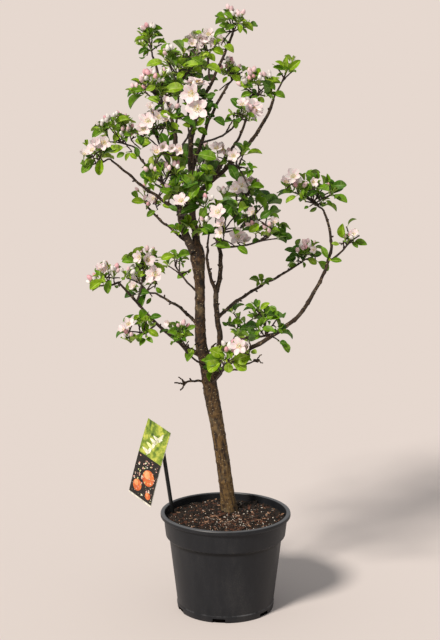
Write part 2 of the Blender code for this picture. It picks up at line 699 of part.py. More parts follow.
class Grower:
    """Grows one mass: keeps what stays in its space and touches nothing that is there already."""

    def __init__(self, mass, limbs, taken):
        self.mass = mass
        self.limbs = limbs
        self.taken = taken
        self.pieces = []
        self.own = []
        self.random = random.Random(mass.name)
        self.turn = self.random.uniform(0, math.tau)
        self.size = min(LEAF_LARGEST, max(LEAF_SMALLEST, min(mass.radii) / LEAF_ROOM))

    def inside(self, points):
        """Whether each point is in the mass's egg-shaped space."""
        for point in points:
            away = point - self.mass.centre
            if sum((away[k] / self.mass.radii[k]) ** 2 for k in range(3)) > 1:
                return False
        return True

    def clear(self, probe):
        """Whether a search tree touches no limb, no other mass and no blade of this one."""
        return not any(probe.overlap(tree) for tree in self.taken + self.own)

    def stem(self):
        """The stem: from its carrier's tip or side, bending to the middle of the space."""
        mass = self.mass
        carrier = self.limbs[mass.carrier]
        place, direction, radius = carrier.place(mass.at)
        middle = mass.centre - Vector((0, 0, STEM_DROP * mass.radii.z))
        if mass.at == 1.0:
            start = place + direction * GAP
            outward = direction
        else:
            towards = middle - place
            outward = (towards - direction * towards.dot(direction)).normalized()
            start = place + outward * (radius + GAP)
        reach = (middle - start).length
        knee = start + outward * min(STEM_KNEE, STEM_KNEE_SHARE * reach)
        sag = Vector((0, 0, -STEM_SAG * reach))
        path = [start, knee, knee.lerp(middle, STEM_SAG_PLACE) + sag, middle]
        self.limb = Limb(path, [mass.stem_radius * share for share in STEM_TAPER], STEM_SIDES)

    def blade(self, hub, axis, angle, spread, length, width, lift):
        """A leaf's or petal's points if it fits in the space, else None."""
        points = blade_points(hub, axis, angle, spread, length, width, lift)
        if not self.inside(points):
            return None
        left, tip, right = points
        way = (tip - hub).normalized()
        near = hub + way * HUB_CLEAR
        middle = (left + right) / 2
        normal = (right - left).cross(way).normalized() * BLADE_PROBE
        edge = (right - left).normalized() * BLADE_PROBE
        verts = [near, left - edge, tip + way * BLADE_PROBE, right + edge, middle + normal, middle - normal]
        faces = [[0, 1, 4], [1, 2, 4], [2, 3, 4], [3, 0, 4], [1, 0, 5], [2, 1, 5], [3, 2, 5], [0, 3, 5]]
        probe = BVHTree.FromPolygons(verts, faces)
        if not self.clear(probe):
            return None
        self.own.append(probe)
        return points

    def largest_blade(self, hub, axis, angle, spread, size, kind):
        """The first of the sizes tried that fits, as its points, else None."""
        for shrink in TRY_SIZES:
            length = kind.length * size * shrink
            width = kind.width * size * shrink
            points = self.blade(hub, axis, angle, spread, length, width, kind.lift)
            if points:
                return points
        return None

    def shoot(self, index):
        """One shoot to its own part of the space, with a whorl of leaves or an open flower."""
        mass = self.mass
        way = spiral_direction(index, mass.shoots, self.turn)
        reach = [mass.radii[k] * SHOOT_REACH for k in range(3)]
        hub = mass.centre + Vector(way[k] * reach[k] for k in range(3))
        height = 1 - index / max(mass.shoots - 1, 1)
        spring, _, _ = self.limb.place(SPRING_FIRST + (SPRING_LAST - SPRING_FIRST) * height)
        run = (hub - spring).normalized()
        axis = (run + UP * SHOOT_LIFT).normalized()
        turn = self.random.uniform(0, math.tau)
        flower = (index * 2 + 1) % mass.shoots < mass.flowers
        kind = PETALS if flower else LEAVES
        blades = []
        for place in range(WHORL_PLACES):
            angle = turn + place * math.tau / WHORL_PLACES
            spread = math.radians(kind.spread + self.random.uniform(-1, 1) * kind.spread_range)
            size = 1 + self.random.uniform(-1, 1) * kind.size_range
            if kind.grows:
                size *= self.size
            blades.append(self.largest_blade(hub, axis, angle, spread, size, kind))
        if not any(blades):
            return
        twig = whorl_mesh(spring, hub, axis, turn, [None] * WHORL_PLACES)
        if self.clear_of_taken(tree_of(twig)):
            self.pieces.append(whorl_mesh(spring, hub, axis, turn, blades))

    def clear_of_taken(self, probe):
        """Whether a search tree touches no limb and no other mass."""
        return not any(probe.overlap(tree) for tree in self.taken)

    def bud(self, index):
        """One bud on its stalk, from the stem's upper part into a free part of the space."""
        mass = self.mass
        for attempt in range(BUD_TRIES):
            number = (index + attempt * BUD_STEP) % BUD_LOWEST
            way = spiral_direction(number, BUD_PLACES, self.turn + 1)
            foot = mass.centre + Vector(way[k] * mass.radii[k] for k in range(3)) * BUD_REACH
            spring, _, _ = self.limb.place(SPRING_LAST)
            axis = ((foot - spring).normalized() + UP * SHOOT_LIFT).normalized()
            mesh = bud_mesh(spring, foot, axis)
            points = [vert.co for vert in mesh.vertices][3:]
            probe = tree_of(mesh)
            if self.inside(points) and self.clear(probe):
                self.own.append(probe)
                self.pieces.append(mesh)
                return

    def grow(self):
        """Grow the stem, its shoots and its buds."""
        self.stem()
        for index in range(self.mass.shoots):
            self.shoot(index)
        for index in range(self.mass.buds):
            self.bud(index)


def join_mass(grower, collection, cutters):
    """Fuse a mass's pieces onto its stem by one Boolean union on a collection."""
    name = grower.mass.name
    part = add_object(name, grower.limb.mesh(name), collection)
    pieces = bpy.data.collections.new(name + "_pieces")
    cutters.children.link(pieces)
    for number, mesh in enumerate(grower.pieces):
        add_object("%s_piece_%d" % (name, number), mesh, pieces)
    boolean = part.modifiers.new("fuse", "BOOLEAN")
    boolean.operation = "UNION"
    boolean.operand_type = "COLLECTION"
    boolean.solver = "EXACT"
    boolean.collection = pieces
    if not is_one_body(part):
        boolean.solver = "MANIFOLD"
    applied(part)
    for item in list(pieces.objects):
        bpy.data.objects.remove(item)
    bpy.data.collections.remove(pieces)
    keep_largest(part)
    dress(part, "foliage")
    return part


def main():
    """Build the pot, compost, label, limbs and foliage masses."""
    clear_scene()
    collection = new_collection("dwarf_apple_tree")
    cutters = new_collection("cutters")
    make_pot(collection, cutters)
    make_soil(collection)
    make_label(collection)
    limbs = {"trunk": make_trunk(collection, cutters)}
    for bough in BOUGHS:
        limbs[bough.name] = make_bough(bough, limbs, collection, cutters)
    taken = [tree_of(limb.mesh("probe", CLEARANCE)) for limb in limbs.values()]
    for mass in MASSES:
        grower = Grower(mass, limbs, taken)
        grower.grow()
        part = join_mass(grower, collection, cutters)
        taken.append(tree_of(part.data))


main()
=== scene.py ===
"""The looks of a dwarf apple tree in blossom, in a moulded plastic pot with a plant label.

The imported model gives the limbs, the pot and the space of each foliage mass. The tables
below repeat the source's rule of growth in millimetres, and this script carries it on to
bark, finer twigs, rosettes of leaves, open blossom and clusters of buds. Every new piece is
a surface worked out in numpy arrays: a profile turned about an axis, a ring carried along a
path, or a grid bent to a leaf's form and copied to its places.
"""

import json
import logging
import math
import random
from dataclasses import dataclass, field
from enum import Enum

import bpy
import numpy as np
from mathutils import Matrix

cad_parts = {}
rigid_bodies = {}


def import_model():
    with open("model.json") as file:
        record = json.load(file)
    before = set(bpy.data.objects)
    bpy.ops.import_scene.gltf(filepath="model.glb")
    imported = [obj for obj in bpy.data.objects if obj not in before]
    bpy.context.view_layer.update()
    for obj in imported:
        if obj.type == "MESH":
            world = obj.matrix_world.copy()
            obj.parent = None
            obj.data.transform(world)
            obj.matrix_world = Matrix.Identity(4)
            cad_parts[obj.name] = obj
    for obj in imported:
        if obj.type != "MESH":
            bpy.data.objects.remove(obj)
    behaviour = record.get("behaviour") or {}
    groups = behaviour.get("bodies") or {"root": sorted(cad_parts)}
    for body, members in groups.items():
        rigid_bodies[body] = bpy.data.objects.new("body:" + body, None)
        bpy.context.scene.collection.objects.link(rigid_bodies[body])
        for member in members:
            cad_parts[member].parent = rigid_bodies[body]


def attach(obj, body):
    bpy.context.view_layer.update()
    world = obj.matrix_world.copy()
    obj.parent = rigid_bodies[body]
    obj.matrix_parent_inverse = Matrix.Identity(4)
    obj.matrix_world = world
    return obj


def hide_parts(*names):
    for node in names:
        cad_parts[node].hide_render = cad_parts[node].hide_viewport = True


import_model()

Array = np.ndarray
Triple = tuple[float, float, float]
LOG = logging.getLogger("dwarf_apple_tree")
MM = 0.001
UP = np.array([0.0, 0.0, 1.0])
GOLDEN_ANGLE = math.pi * (3 - math.sqrt(5))
ROOT_BODY = "root"

# Sockets of the Mix node where it mixes colours
MIX_FACTOR, MIX_FIRST, MIX_SECOND, MIX_RESULT = 0, 6, 7, 2

# Odd numbers that scatter the corners of the noise lattice
HASH_AXES = np.array([73856093, 19349663, 83492791], dtype=np.int64)
HASH_SEED, HASH_STIR, HASH_TOP = 9176263, 1274126177, 0xFFFF


def unit(vectors: Array) -> Array:
    """Vectors brought to length one along their last axis."""
    return vectors / np.maximum(np.linalg.norm(vectors, axis=-1, keepdims=True), 1e-12)


def linear(hex_colour: str) -> tuple[float, float, float, float]:
    """An sRGB hex colour as linear red, green, blue and alpha."""
    values = [int(hex_colour[i:i + 2], 16) / 255 for i in (1, 3, 5)]
    return (*(((v + 0.055) / 1.055) ** 2.4 if v > 0.04045 else v / 12.92 for v in values), 1.0)


def toned(hex_colour: str, share: float) -> str:
    """An sRGB hex colour with each value brought to a share of itself, and to 255 at most."""
    values = [min(255, round(int(hex_colour[i:i + 2], 16) * share)) for i in (1, 3, 5)]
    return "#%02x%02x%02x" % tuple(values)


def noise(points: Array, size: float, seed: int = 0) -> Array:
    """Smooth noise from -1 to 1: random values at the corners of cubes, blended by 3t²-2t³.

    Args:
        points: places, one row each.
        size: the cubes' edge in metres.
        seed: another number gives another pattern.

    Returns:
        One value for each place.
    """
    cells = points / size
    low = np.floor(cells).astype(np.int64)
    share = cells - low
    share = share * share * (3 - 2 * share)
    total = np.zeros(len(points))
    for corner in np.ndindex(2, 2, 2):
        mixed = (low + corner) @ HASH_AXES + seed * HASH_SEED
        mixed = (mixed ^ (mixed >> 13)) * HASH_STIR
        value = ((mixed ^ (mixed >> 16)) & HASH_TOP) / (HASH_TOP / 2) - 1
        total += value * np.where(np.array(corner, bool), share, 1 - share).prod(axis=1)
    return total


@dataclass
class Shape:
    """A mesh in arrays: points, blocks of faces with equal corners, and each face's material."""

    verts: Array
    faces: list[Array]
    kinds: list[Array]

    def copies(self, places: Array) -> "Shape":
        """Copies of this shape under many placements: new point = matrix times point plus shift.

        Args:
            places: (count, 3, 4) matrices, whose last column is the shift.

        Returns:
            One shape that holds all the copies.
        """
        verts = np.einsum("cij,nj->cni", places[:, :, :3], self.verts) + places[:, None, :, 3]
        steps = np.arange(len(places)) * len(self.verts)
        faces = [(block[None] + steps[:, None, None]).reshape(-1, block.shape[1]) for block in self.faces]
        kinds = [np.tile(kind, len(places)) for kind in self.kinds]
        return Shape(verts.reshape(-1, 3), faces, kinds)

    def triangles(self) -> int:
        """How many triangles the faces make."""
        return int(sum(len(block) * (block.shape[1] - 2) for block in self.faces))


def joined(shapes: list[Shape]) -> Shape:
    """Several shapes as one, each one's faces counted on from the points before it.

    Args:
        shapes: the shapes, in order.

    Returns:
        One shape.
    """
    verts, faces, kinds, start = [], [], [], 0
    for shape in shapes:
        verts.append(shape.verts)
        faces += [block + start for block in shape.faces]
        kinds += shape.kinds
        start += len(shape.verts)
    return Shape(np.concatenate(verts), faces, kinds)


def grid_faces(rows: int, columns: int, wrap: bool, start: int = 0) -> Array:
    """Quads of a grid whose points run along each row, and round it where it wraps.

    Args:
        rows: rows of points.
        columns: points in a row.
        wrap: whether a row's last point meets its first.
        start: the number of the first point.

    Returns:
        Quads (row, column), (row, column + 1), (row + 1, column + 1), (row + 1, column).
    """
    across = np.arange(columns if wrap else columns - 1)
    row, column = np.meshgrid(np.arange(rows - 1), across, indexing="ij")
    after = (column + 1) % columns
    quads = [row * columns + column, row * columns + after]
    quads += [(row + 1) * columns + after, (row + 1) * columns + column]
    return np.stack(quads, axis=-1).reshape(-1, 4) + start


def tubes(paths: Array, radii: Array, sides: int, kind: int = 0) -> Shape:
    """Tubes: round each path point a ring of points square to the path, with both ends closed.

    A ring point is the path point + radius times (cos a times side + sin a times other). The
    side is the path's direction crossed with the axis that the path leans on least.

    Args:
        paths: (count, points, 3).
        radii: (count, points).
        sides: points round each ring.
        kind: the material of the faces.

    Returns:
        The tubes, with their ring points in path order, then the middles of their ends.
    """
    count, length = paths.shape[:2]
    ways = unit(np.gradient(paths, axis=1))
    axis = np.eye(3)[np.abs(paths[:, -1] - paths[:, 0]).argmin(axis=1)]
    side = unit(np.cross(ways, axis[:, None]))
    other = np.cross(ways, side)
    angles = np.arange(sides) * math.tau / sides
    ring = np.cos(angles)[:, None] * side[:, :, None] + np.sin(angles)[:, None] * other[:, :, None]
    verts = paths[:, :, None] + radii[:, :, None, None] * ring
    each = length * sides
    ends = count * each + 2 * np.arange(count)
    walls = grid_faces(length, sides, True)[None] + (np.arange(count) * each)[:, None, None]
    first, second = np.arange(sides), (np.arange(sides) + 1) % sides
    tops = (length - 1) * sides
    base, caps = (np.arange(count) * each)[:, None], []
    for middle, start, end in ((ends, second, first), (ends + 1, tops + first, tops + second)):
        hub = np.broadcast_to(middle[:, None], (count, sides))
        caps.append(np.stack([hub, base + start, base + end], axis=-1).reshape(-1, 3))
    middles = np.stack([paths[:, 0], paths[:, -1]], axis=1).reshape(-1, 3)
    faces = [walls.reshape(-1, 4), np.concatenate(caps)]
    verts = np.concatenate([verts.reshape(-1, 3), middles])
    return Shape(verts, faces, [np.full(len(block), kind) for block in faces])


def feed(
    tree: bpy.types.NodeTree, node: bpy.types.Node, values: dict | None = None, links: dict | None = None,
) -> None:
    """Sets a node's inputs.

    Args:
        tree: the material's or world's nodes.
        node: the node.
        values: values of its input sockets, by name or number.
        links: what feeds its input sockets, by name or number.
    """
    for name, value in (values or {}).items():
        node.inputs[name].default_value = value
    for name, source in (links or {}).items():
        tree.links.new(source, node.inputs[name])


def add_node(
    tree: bpy.types.NodeTree,
    kind: str,
    settings: dict | None = None,
    values: dict | None = None,
    links: dict | None = None,
    stops: list[tuple[float, str]] | None = None,
) -> bpy.types.Node:
    """Adds one node with its settings and links.

    Args:
        tree: the material's or world's nodes.
        kind: the node's type, after the word ShaderNode.
        settings: attributes of the node.
        values: values of its input sockets, by name or number.
        links: what feeds its input sockets, by name or number.
        stops: a colour ramp's places and hex colours.

    Returns:
        The node.
    """
    node = tree.nodes.new("ShaderNode" + kind)
    for name, value in (settings or {}).items():
        setattr(node, name, value)
    feed(tree, node, values, links)
    for index, (place, colour) in enumerate(stops or []):
        ends = node.color_ramp.elements
        stop = ends[index] if index < 2 else ends.new(place)
        stop.position = place
        stop.color = linear(colour)
    return node


def new_material(
    name: str,
) -> tuple[bpy.types.Material, bpy.types.NodeTree, bpy.types.Node, bpy.types.NodeSocket]:
    """A new material with nodes.

    Args:
        name: the finish's name.

    Returns:
        The material, its nodes, its Principled shader and the Object coordinates.
    """
    material = bpy.data.materials.new(name)
    material.use_nodes = True
    tree = material.node_tree
    place = add_node(tree, "TexCoord").outputs["Object"]
    return material, tree, tree.nodes["Principled BSDF"], place


@dataclass(frozen=True)
class WearShadeAndHighlightBand:
    """A level line of another colour on a moulding, full up to one distance and gone at another.

    The cover is its share where it is full. A patchy one shows only where the plastic is scuffed.
    Besides wear, a band can carry painted shadow or a painted highlight.
    """

    height: float
    full: float
    gone: float
    cover: float
    colour: str
    patchy: bool = False


@dataclass(frozen=True)
class MouldedPlastic:
    """Injection-moulded polypropylene: matt, a little waxy, with scuffs and dry compost dust."""

    name: str
    colour: str
    worn: str
    dust: str
    dust_share: float
    roughness: float
    grain: float = 1.4 * MM
    scuff: float = 38 * MM
    scuff_stretch: float = 0.35
    gloss: float = 0.28
    polished_gloss: float = 0.9
    polish_reach: float = 3 * MM
    polish_height: float | None = None
    splash_height: float = 0.0
    bands: tuple[WearShadeAndHighlightBand, ...] = ()

    def material(self) -> bpy.types.Material:
        """The finish: long scuffs, dust where two noises meet, thicker below the splash height.

        The bands of wear, painted shadow and painted highlight lie over both, and the plastic is
        smoother up to the polished height.

        Returns:
            The material.
        """
        material, tree, shader, place = new_material(self.name)
        long = add_node(tree, "Mapping", values={"Scale": (1, 1, self.scuff_stretch)},
                        links={"Vector": place})
        wide = add_node(tree, "TexNoise", values={"Scale": 1 / self.scuff, "Detail": 5.0, "Roughness": 0.62},
                        links={"Vector": long.outputs["Vector"]}).outputs["Fac"]
        fine = add_node(tree, "TexNoise", values={"Scale": 1 / self.grain, "Detail": 3.0},
                        links={"Vector": place}).outputs["Fac"]
        worn = add_node(tree, "ValToRGB", links={"Fac": wide},
                        stops=[(0.34, self.colour), (0.72, self.worn)])
        level = add_node(tree, "SeparateXYZ", links={"Vector": place}).outputs["Z"]
        splash = add_node(tree, "MapRange", values={"From Max": self.splash_height + MM, "To Min": 1.22},
                          links={"Value": level})
        speck = add_node(tree, "Math", {"operation": "MULTIPLY"}, links={0: wide, 1: fine})
        speck = add_node(tree, "Math", {"operation": "MULTIPLY"},
                         links={0: speck.outputs[0], 1: splash.outputs[0]})
        amount = add_node(tree, "MapRange",
                          values={"From Min": 0.26, "From Max": 0.44, "To Max": self.dust_share},
                          links={"Value": speck.outputs[0]})
        colour = add_node(tree, "Mix", {"data_type": "RGBA"}, {MIX_SECOND: linear(self.dust)},
                          {MIX_FACTOR: amount.outputs[0], MIX_FIRST: worn.outputs["Color"]})
        for band in self.bands:
            above = add_node(tree, "Math", {"operation": "SUBTRACT"}, {1: band.height}, {0: level})
            away = add_node(tree, "Math", {"operation": "ABSOLUTE"}, links={0: above.outputs[0]})
            cover = add_node(tree, "MapRange",
                             values={"From Min": band.full, "From Max": band.gone, "To Min": band.cover,
                                     "To Max": 0.0},
                             links={"Value": away.outputs[0]})
            if band.patchy:
                patch = add_node(tree, "MapRange", values={"From Min": 0.45, "From Max": 0.62},
                                 links={"Value": wide})
                cover = add_node(tree, "Math", {"operation": "MULTIPLY"},
                                 links={0: cover.outputs[0], 1: patch.outputs[0]})
            colour = add_node(tree, "Mix", {"data_type": "RGBA"}, {MIX_SECOND: linear(band.colour)},
                              {MIX_FACTOR: cover.outputs[0], MIX_FIRST: colour.outputs[MIX_RESULT]})
        rough = add_node(tree, "MapRange",
                         values={"From Min": 0.3, "From Max": 0.7, "To Min": self.roughness - 0.08,
                                 "To Max": self.roughness + 0.12},
                         links={"Value": wide})
        bump = add_node(tree, "Bump", values={"Strength": 0.12, "Distance": 0.25 * MM},
                        links={"Height": fine})
        feed(tree, shader, {"IOR": 1.49, "Specular IOR Level": self.gloss},
             {"Base Color": colour.outputs[MIX_RESULT], "Normal": bump.outputs["Normal"]})
        if self.polish_height is not None:
            rise = {"From Min": self.polish_height - self.polish_reach, "From Max": self.polish_height}
            polish = add_node(tree, "MapRange", values={**rise, "To Min": 1.0, "To Max": 0.6},
                              links={"Value": level})
            rough = add_node(tree, "Math", {"operation": "MULTIPLY"},
                             links={0: rough.outputs[0], 1: polish.outputs[0]})
            shine = add_node(tree, "MapRange",
                             values={**rise, "To Min": self.gloss, "To Max": self.polished_gloss},
                             links={"Value": level})
            feed(tree, shader, links={"Specular IOR Level": shine.outputs[0]})
        feed(tree, shader, links={"Roughness": rough.outputs[0]})
        return material


@dataclass(frozen=True)
class Mottled:
    """A matt natural surface in two or more browns: peat, wood chip or expanded mineral grain."""

    name: str
    stops: tuple[tuple[float, str], ...]
    size: float
    roughness: float
    bump: float = 0.5
    specular: float = 0.5

    def material(self) -> bpy.types.Material:
        """The finish: one noise gives the colour stops and the bump.

        Returns:
            The material.
        """
        material, tree, shader, place = new_material(self.name)
        spots = add_node(tree, "TexNoise", values={"Scale": 1 / self.size, "Detail": 6.0, "Roughness": 0.6},
                         links={"Vector": place}).outputs["Fac"]
        colour = add_node(tree, "ValToRGB", links={"Fac": spots}, stops=list(self.stops))
        bump = add_node(tree, "Bump", values={"Strength": self.bump, "Distance": self.size / 8},
                        links={"Height": spots})
        feed(tree, shader, {"Roughness": self.roughness, "Specular IOR Level": self.specular},
             {"Base Color": colour.outputs["Color"], "Normal": bump.outputs["Normal"]})
        return material


@dataclass(frozen=True)
class Bark:
    """Apple bark: rough and scaly, dark in its cracks, ochre and grey on its ridges, with lenticels.

    The mesh carries the ridges, and its attribute "relief" says how high each point stands.
    """

    name: str
    crack: str
    brown: str
    ridge: str
    low: str
    grey: str
    low_height: float
    high_height: float
    scale: float = 6 * MM
    lenticel: str = "#b3a07e"
    lenticel_gap: float = 10 * MM
    roughness: float = 0.82

    def material(self) -> bpy.types.Material:
        """The finish: colour by height on the relief plus a noise, ochre low down and dark above.

        Grey blotches and pale level lenticels lie over it.

        Returns:
            The material.
        """
        material, tree, shader, place = new_material(self.name)
        relief = add_node(tree, "Attribute", {"attribute_name": "relief"})
        upright = add_node(tree, "Mapping", values={"Scale": (1, 1, 0.4)}, links={"Vector": place})
        mottle = add_node(tree, "TexNoise",
                          values={"Scale": 1 / self.scale, "Detail": 6.0, "Roughness": 0.66},
                          links={"Vector": upright.outputs["Vector"]})
        patch = add_node(tree, "TexNoise", values={"Scale": 1 / (6 * self.scale), "Detail": 3.0},
                         links={"Vector": place})
        height = add_node(tree, "Math", {"operation": "MULTIPLY_ADD"}, {1: 0.34},
                          {0: relief.outputs["Fac"], 2: mottle.outputs["Fac"]})
        dark = add_node(tree, "ValToRGB", links={"Fac": height.outputs[0]},
                        stops=[(0.3, self.crack), (0.8, self.ridge), (0.5, self.brown)])
        ochre = add_node(tree, "ValToRGB", links={"Fac": height.outputs[0]},
                         stops=[(0.2, self.crack), (0.66, self.low), (0.4, self.brown)])
        level = add_node(tree, "SeparateXYZ", links={"Vector": place})
        rise = add_node(tree, "MapRange",
                        values={"From Min": self.low_height, "From Max": self.high_height},
                        links={"Value": level.outputs["Z"]})
        body = add_node(tree, "Mix", {"data_type": "RGBA"},
                        links={MIX_FACTOR: rise.outputs[0], MIX_FIRST: ochre.outputs["Color"],
                               MIX_SECOND: dark.outputs["Color"]})
        blotch = add_node(tree, "MapRange",
                          values={"From Min": 0.55, "From Max": 0.72, "To Max": 0.45},
                          links={"Value": patch.outputs["Fac"]})
        greyed = add_node(tree, "Mix", {"data_type": "RGBA"}, {MIX_SECOND: linear(self.grey)},
                          {MIX_FACTOR: blotch.outputs[0], MIX_FIRST: body.outputs[MIX_RESULT]})
        flat = add_node(tree, "Mapping", values={"Scale": (1, 1, 2.6)}, links={"Vector": place})
        dots = add_node(tree, "TexVoronoi", values={"Scale": 1 / self.lenticel_gap},
                        links={"Vector": flat.outputs["Vector"]})
        lenticel = add_node(tree, "MapRange",
                            values={"From Min": 0.2, "From Max": 0.13, "To Max": 0.75},
                            links={"Value": dots.outputs["Distance"]})
        colour = add_node(tree, "Mix", {"data_type": "RGBA"}, {MIX_SECOND: linear(self.lenticel)},
                          {MIX_FACTOR: lenticel.outputs[0], MIX_FIRST: greyed.outputs[MIX_RESULT]})
        bump = add_node(tree, "Bump", values={"Strength": 0.7, "Distance": 0.6 * MM},
                        links={"Height": mottle.outputs["Fac"]})
        feed(tree, shader, {"Roughness": self.roughness},
             {"Base Color": colour.outputs[MIX_RESULT], "Normal": bump.outputs["Normal"]})
        return material


@dataclass(frozen=True)
class LivingTissue:
    """Leaf, petal or stalk: a waxy skin over wet cells, with a fine net of veins in its gloss."""

    name: str
    colour: str
    roughness: float
    net: float = 1.1 * MM
    relief: float = 0.25
    sheen: float = 0.0
    patch: float = 9 * MM
    vary: float = 0.13
    specular: float = 0.32
    ior: float = 1.4

    def material(self) -> bpy.types.Material:
        """The finish: soft patches a little darker and lighter, and a net of cells in the bump.

        Returns:
            The material.
        """
        material, tree, shader, place = new_material(self.name)
        patches = add_node(tree, "TexNoise", values={"Scale": 1 / self.patch, "Detail": 3.0},
                           links={"Vector": place})
        stops = [(0.34, toned(self.colour, 1 - self.vary)), (0.66, toned(self.colour, 1 + self.vary))]
        colour = add_node(tree, "ValToRGB", links={"Fac": patches.outputs["Fac"]}, stops=stops)
        rough = add_node(tree, "MapRange",
                         values={"From Min": 0.3, "From Max": 0.7, "To Min": self.roughness - 0.07,
                                 "To Max": self.roughness + 0.07},
                         links={"Value": patches.outputs["Fac"]})
        cells = add_node(tree, "TexVoronoi", {"feature": "DISTANCE_TO_EDGE"},
                         {"Scale": 1 / self.net}, {"Vector": place})
        bump = add_node(tree, "Bump", values={"Strength": self.relief, "Distance": 0.2 * MM},
                        links={"Height": cells.outputs["Distance"]})
        feed(tree, shader,
             {"Sheen Weight": self.sheen, "Specular IOR Level": self.specular, "IOR": self.ior},
             {"Base Color": colour.outputs["Color"], "Roughness": rough.outputs[0],
              "Normal": bump.outputs["Normal"]})
        return material


def make_piece(
    name: str,
    shape: Shape,
    materials: list[bpy.types.Material],
    stands_for: tuple[str, ...] = (),
    relief: Array | None = None,
    sharp: float = 50.0,
) -> bpy.types.Object:
    """Puts a shape into a new object that rides on the root body.

    Args:
        name: the piece's name.
        shape: its points and faces.
        materials: its materials, in the order of the shape's kinds.
        stands_for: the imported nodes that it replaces.
        relief: how high each point stands on its surface, from -1 to 1.
        sharp: edges that turn by more degrees than this stay sharp.

    Returns:
        The object.
    """
    mesh = bpy.data.meshes.new(name)
    sizes = np.concatenate([np.full(len(block), block.shape[1]) for block in shape.faces])
    corners = np.concatenate([block.ravel() for block in shape.faces])
    mesh.vertices.add(len(shape.verts))
    mesh.vertices.foreach_set("co", shape.verts.astype(np.float32).ravel())
    mesh.loops.add(len(corners))
    mesh.loops.foreach_set("vertex_index", corners.astype(np.int32))
    mesh.polygons.add(len(sizes))
    mesh.polygons.foreach_set("loop_start", (np.cumsum(sizes) - sizes).astype(np.int32))
    mesh.polygons.foreach_set("material_index", np.concatenate(shape.kinds).astype(np.int32))
    mesh.update(calc_edges=True)
    mesh.shade_smooth()
    mesh.set_sharp_from_angle(angle=math.radians(sharp))
    if relief is not None:
        mesh.attributes.new("relief", "FLOAT", "POINT").data.foreach_set("value", relief.astype(np.float32))
    for material in materials:
        mesh.materials.append(material)
    piece = bpy.data.objects.new(name, mesh)
    bpy.context.scene.collection.objects.link(piece)
    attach(piece, ROOT_BODY)
    if stands_for:
        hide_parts(*stands_for)
    LOG.info("%s: %d triangles, stands for %d nodes", name, shape.triangles(), len(stands_for))
    return piece


def rounded(corners: list[tuple[float, float, float]], steps: int = 5) -> Array:
    """An outline whose corners are rounded: each becomes the curve (1-t)²a + 2t(1-t)c + t²b.

    Args:
        corners: across, up and how far from the corner the curve starts, in metres.
        steps: points on each curve.

    Returns:
        The outline's points, one row each. The two ends stay as they are.
    """
    flat = np.array(corners)[:, :2]
    points = [flat[:1]]
    t = np.linspace(0, 1, steps)[:, None]
    for before, corner, after, (_, _, reach) in zip(flat, flat[1:], flat[2:], corners[1:]):
        first = corner + unit(before - corner) * reach
        last = corner + unit(after - corner) * reach
        points.append((1 - t) ** 2 * first + 2 * t * (1 - t) * corner + t ** 2 * last)
    return np.concatenate([*points, flat[-1:]])


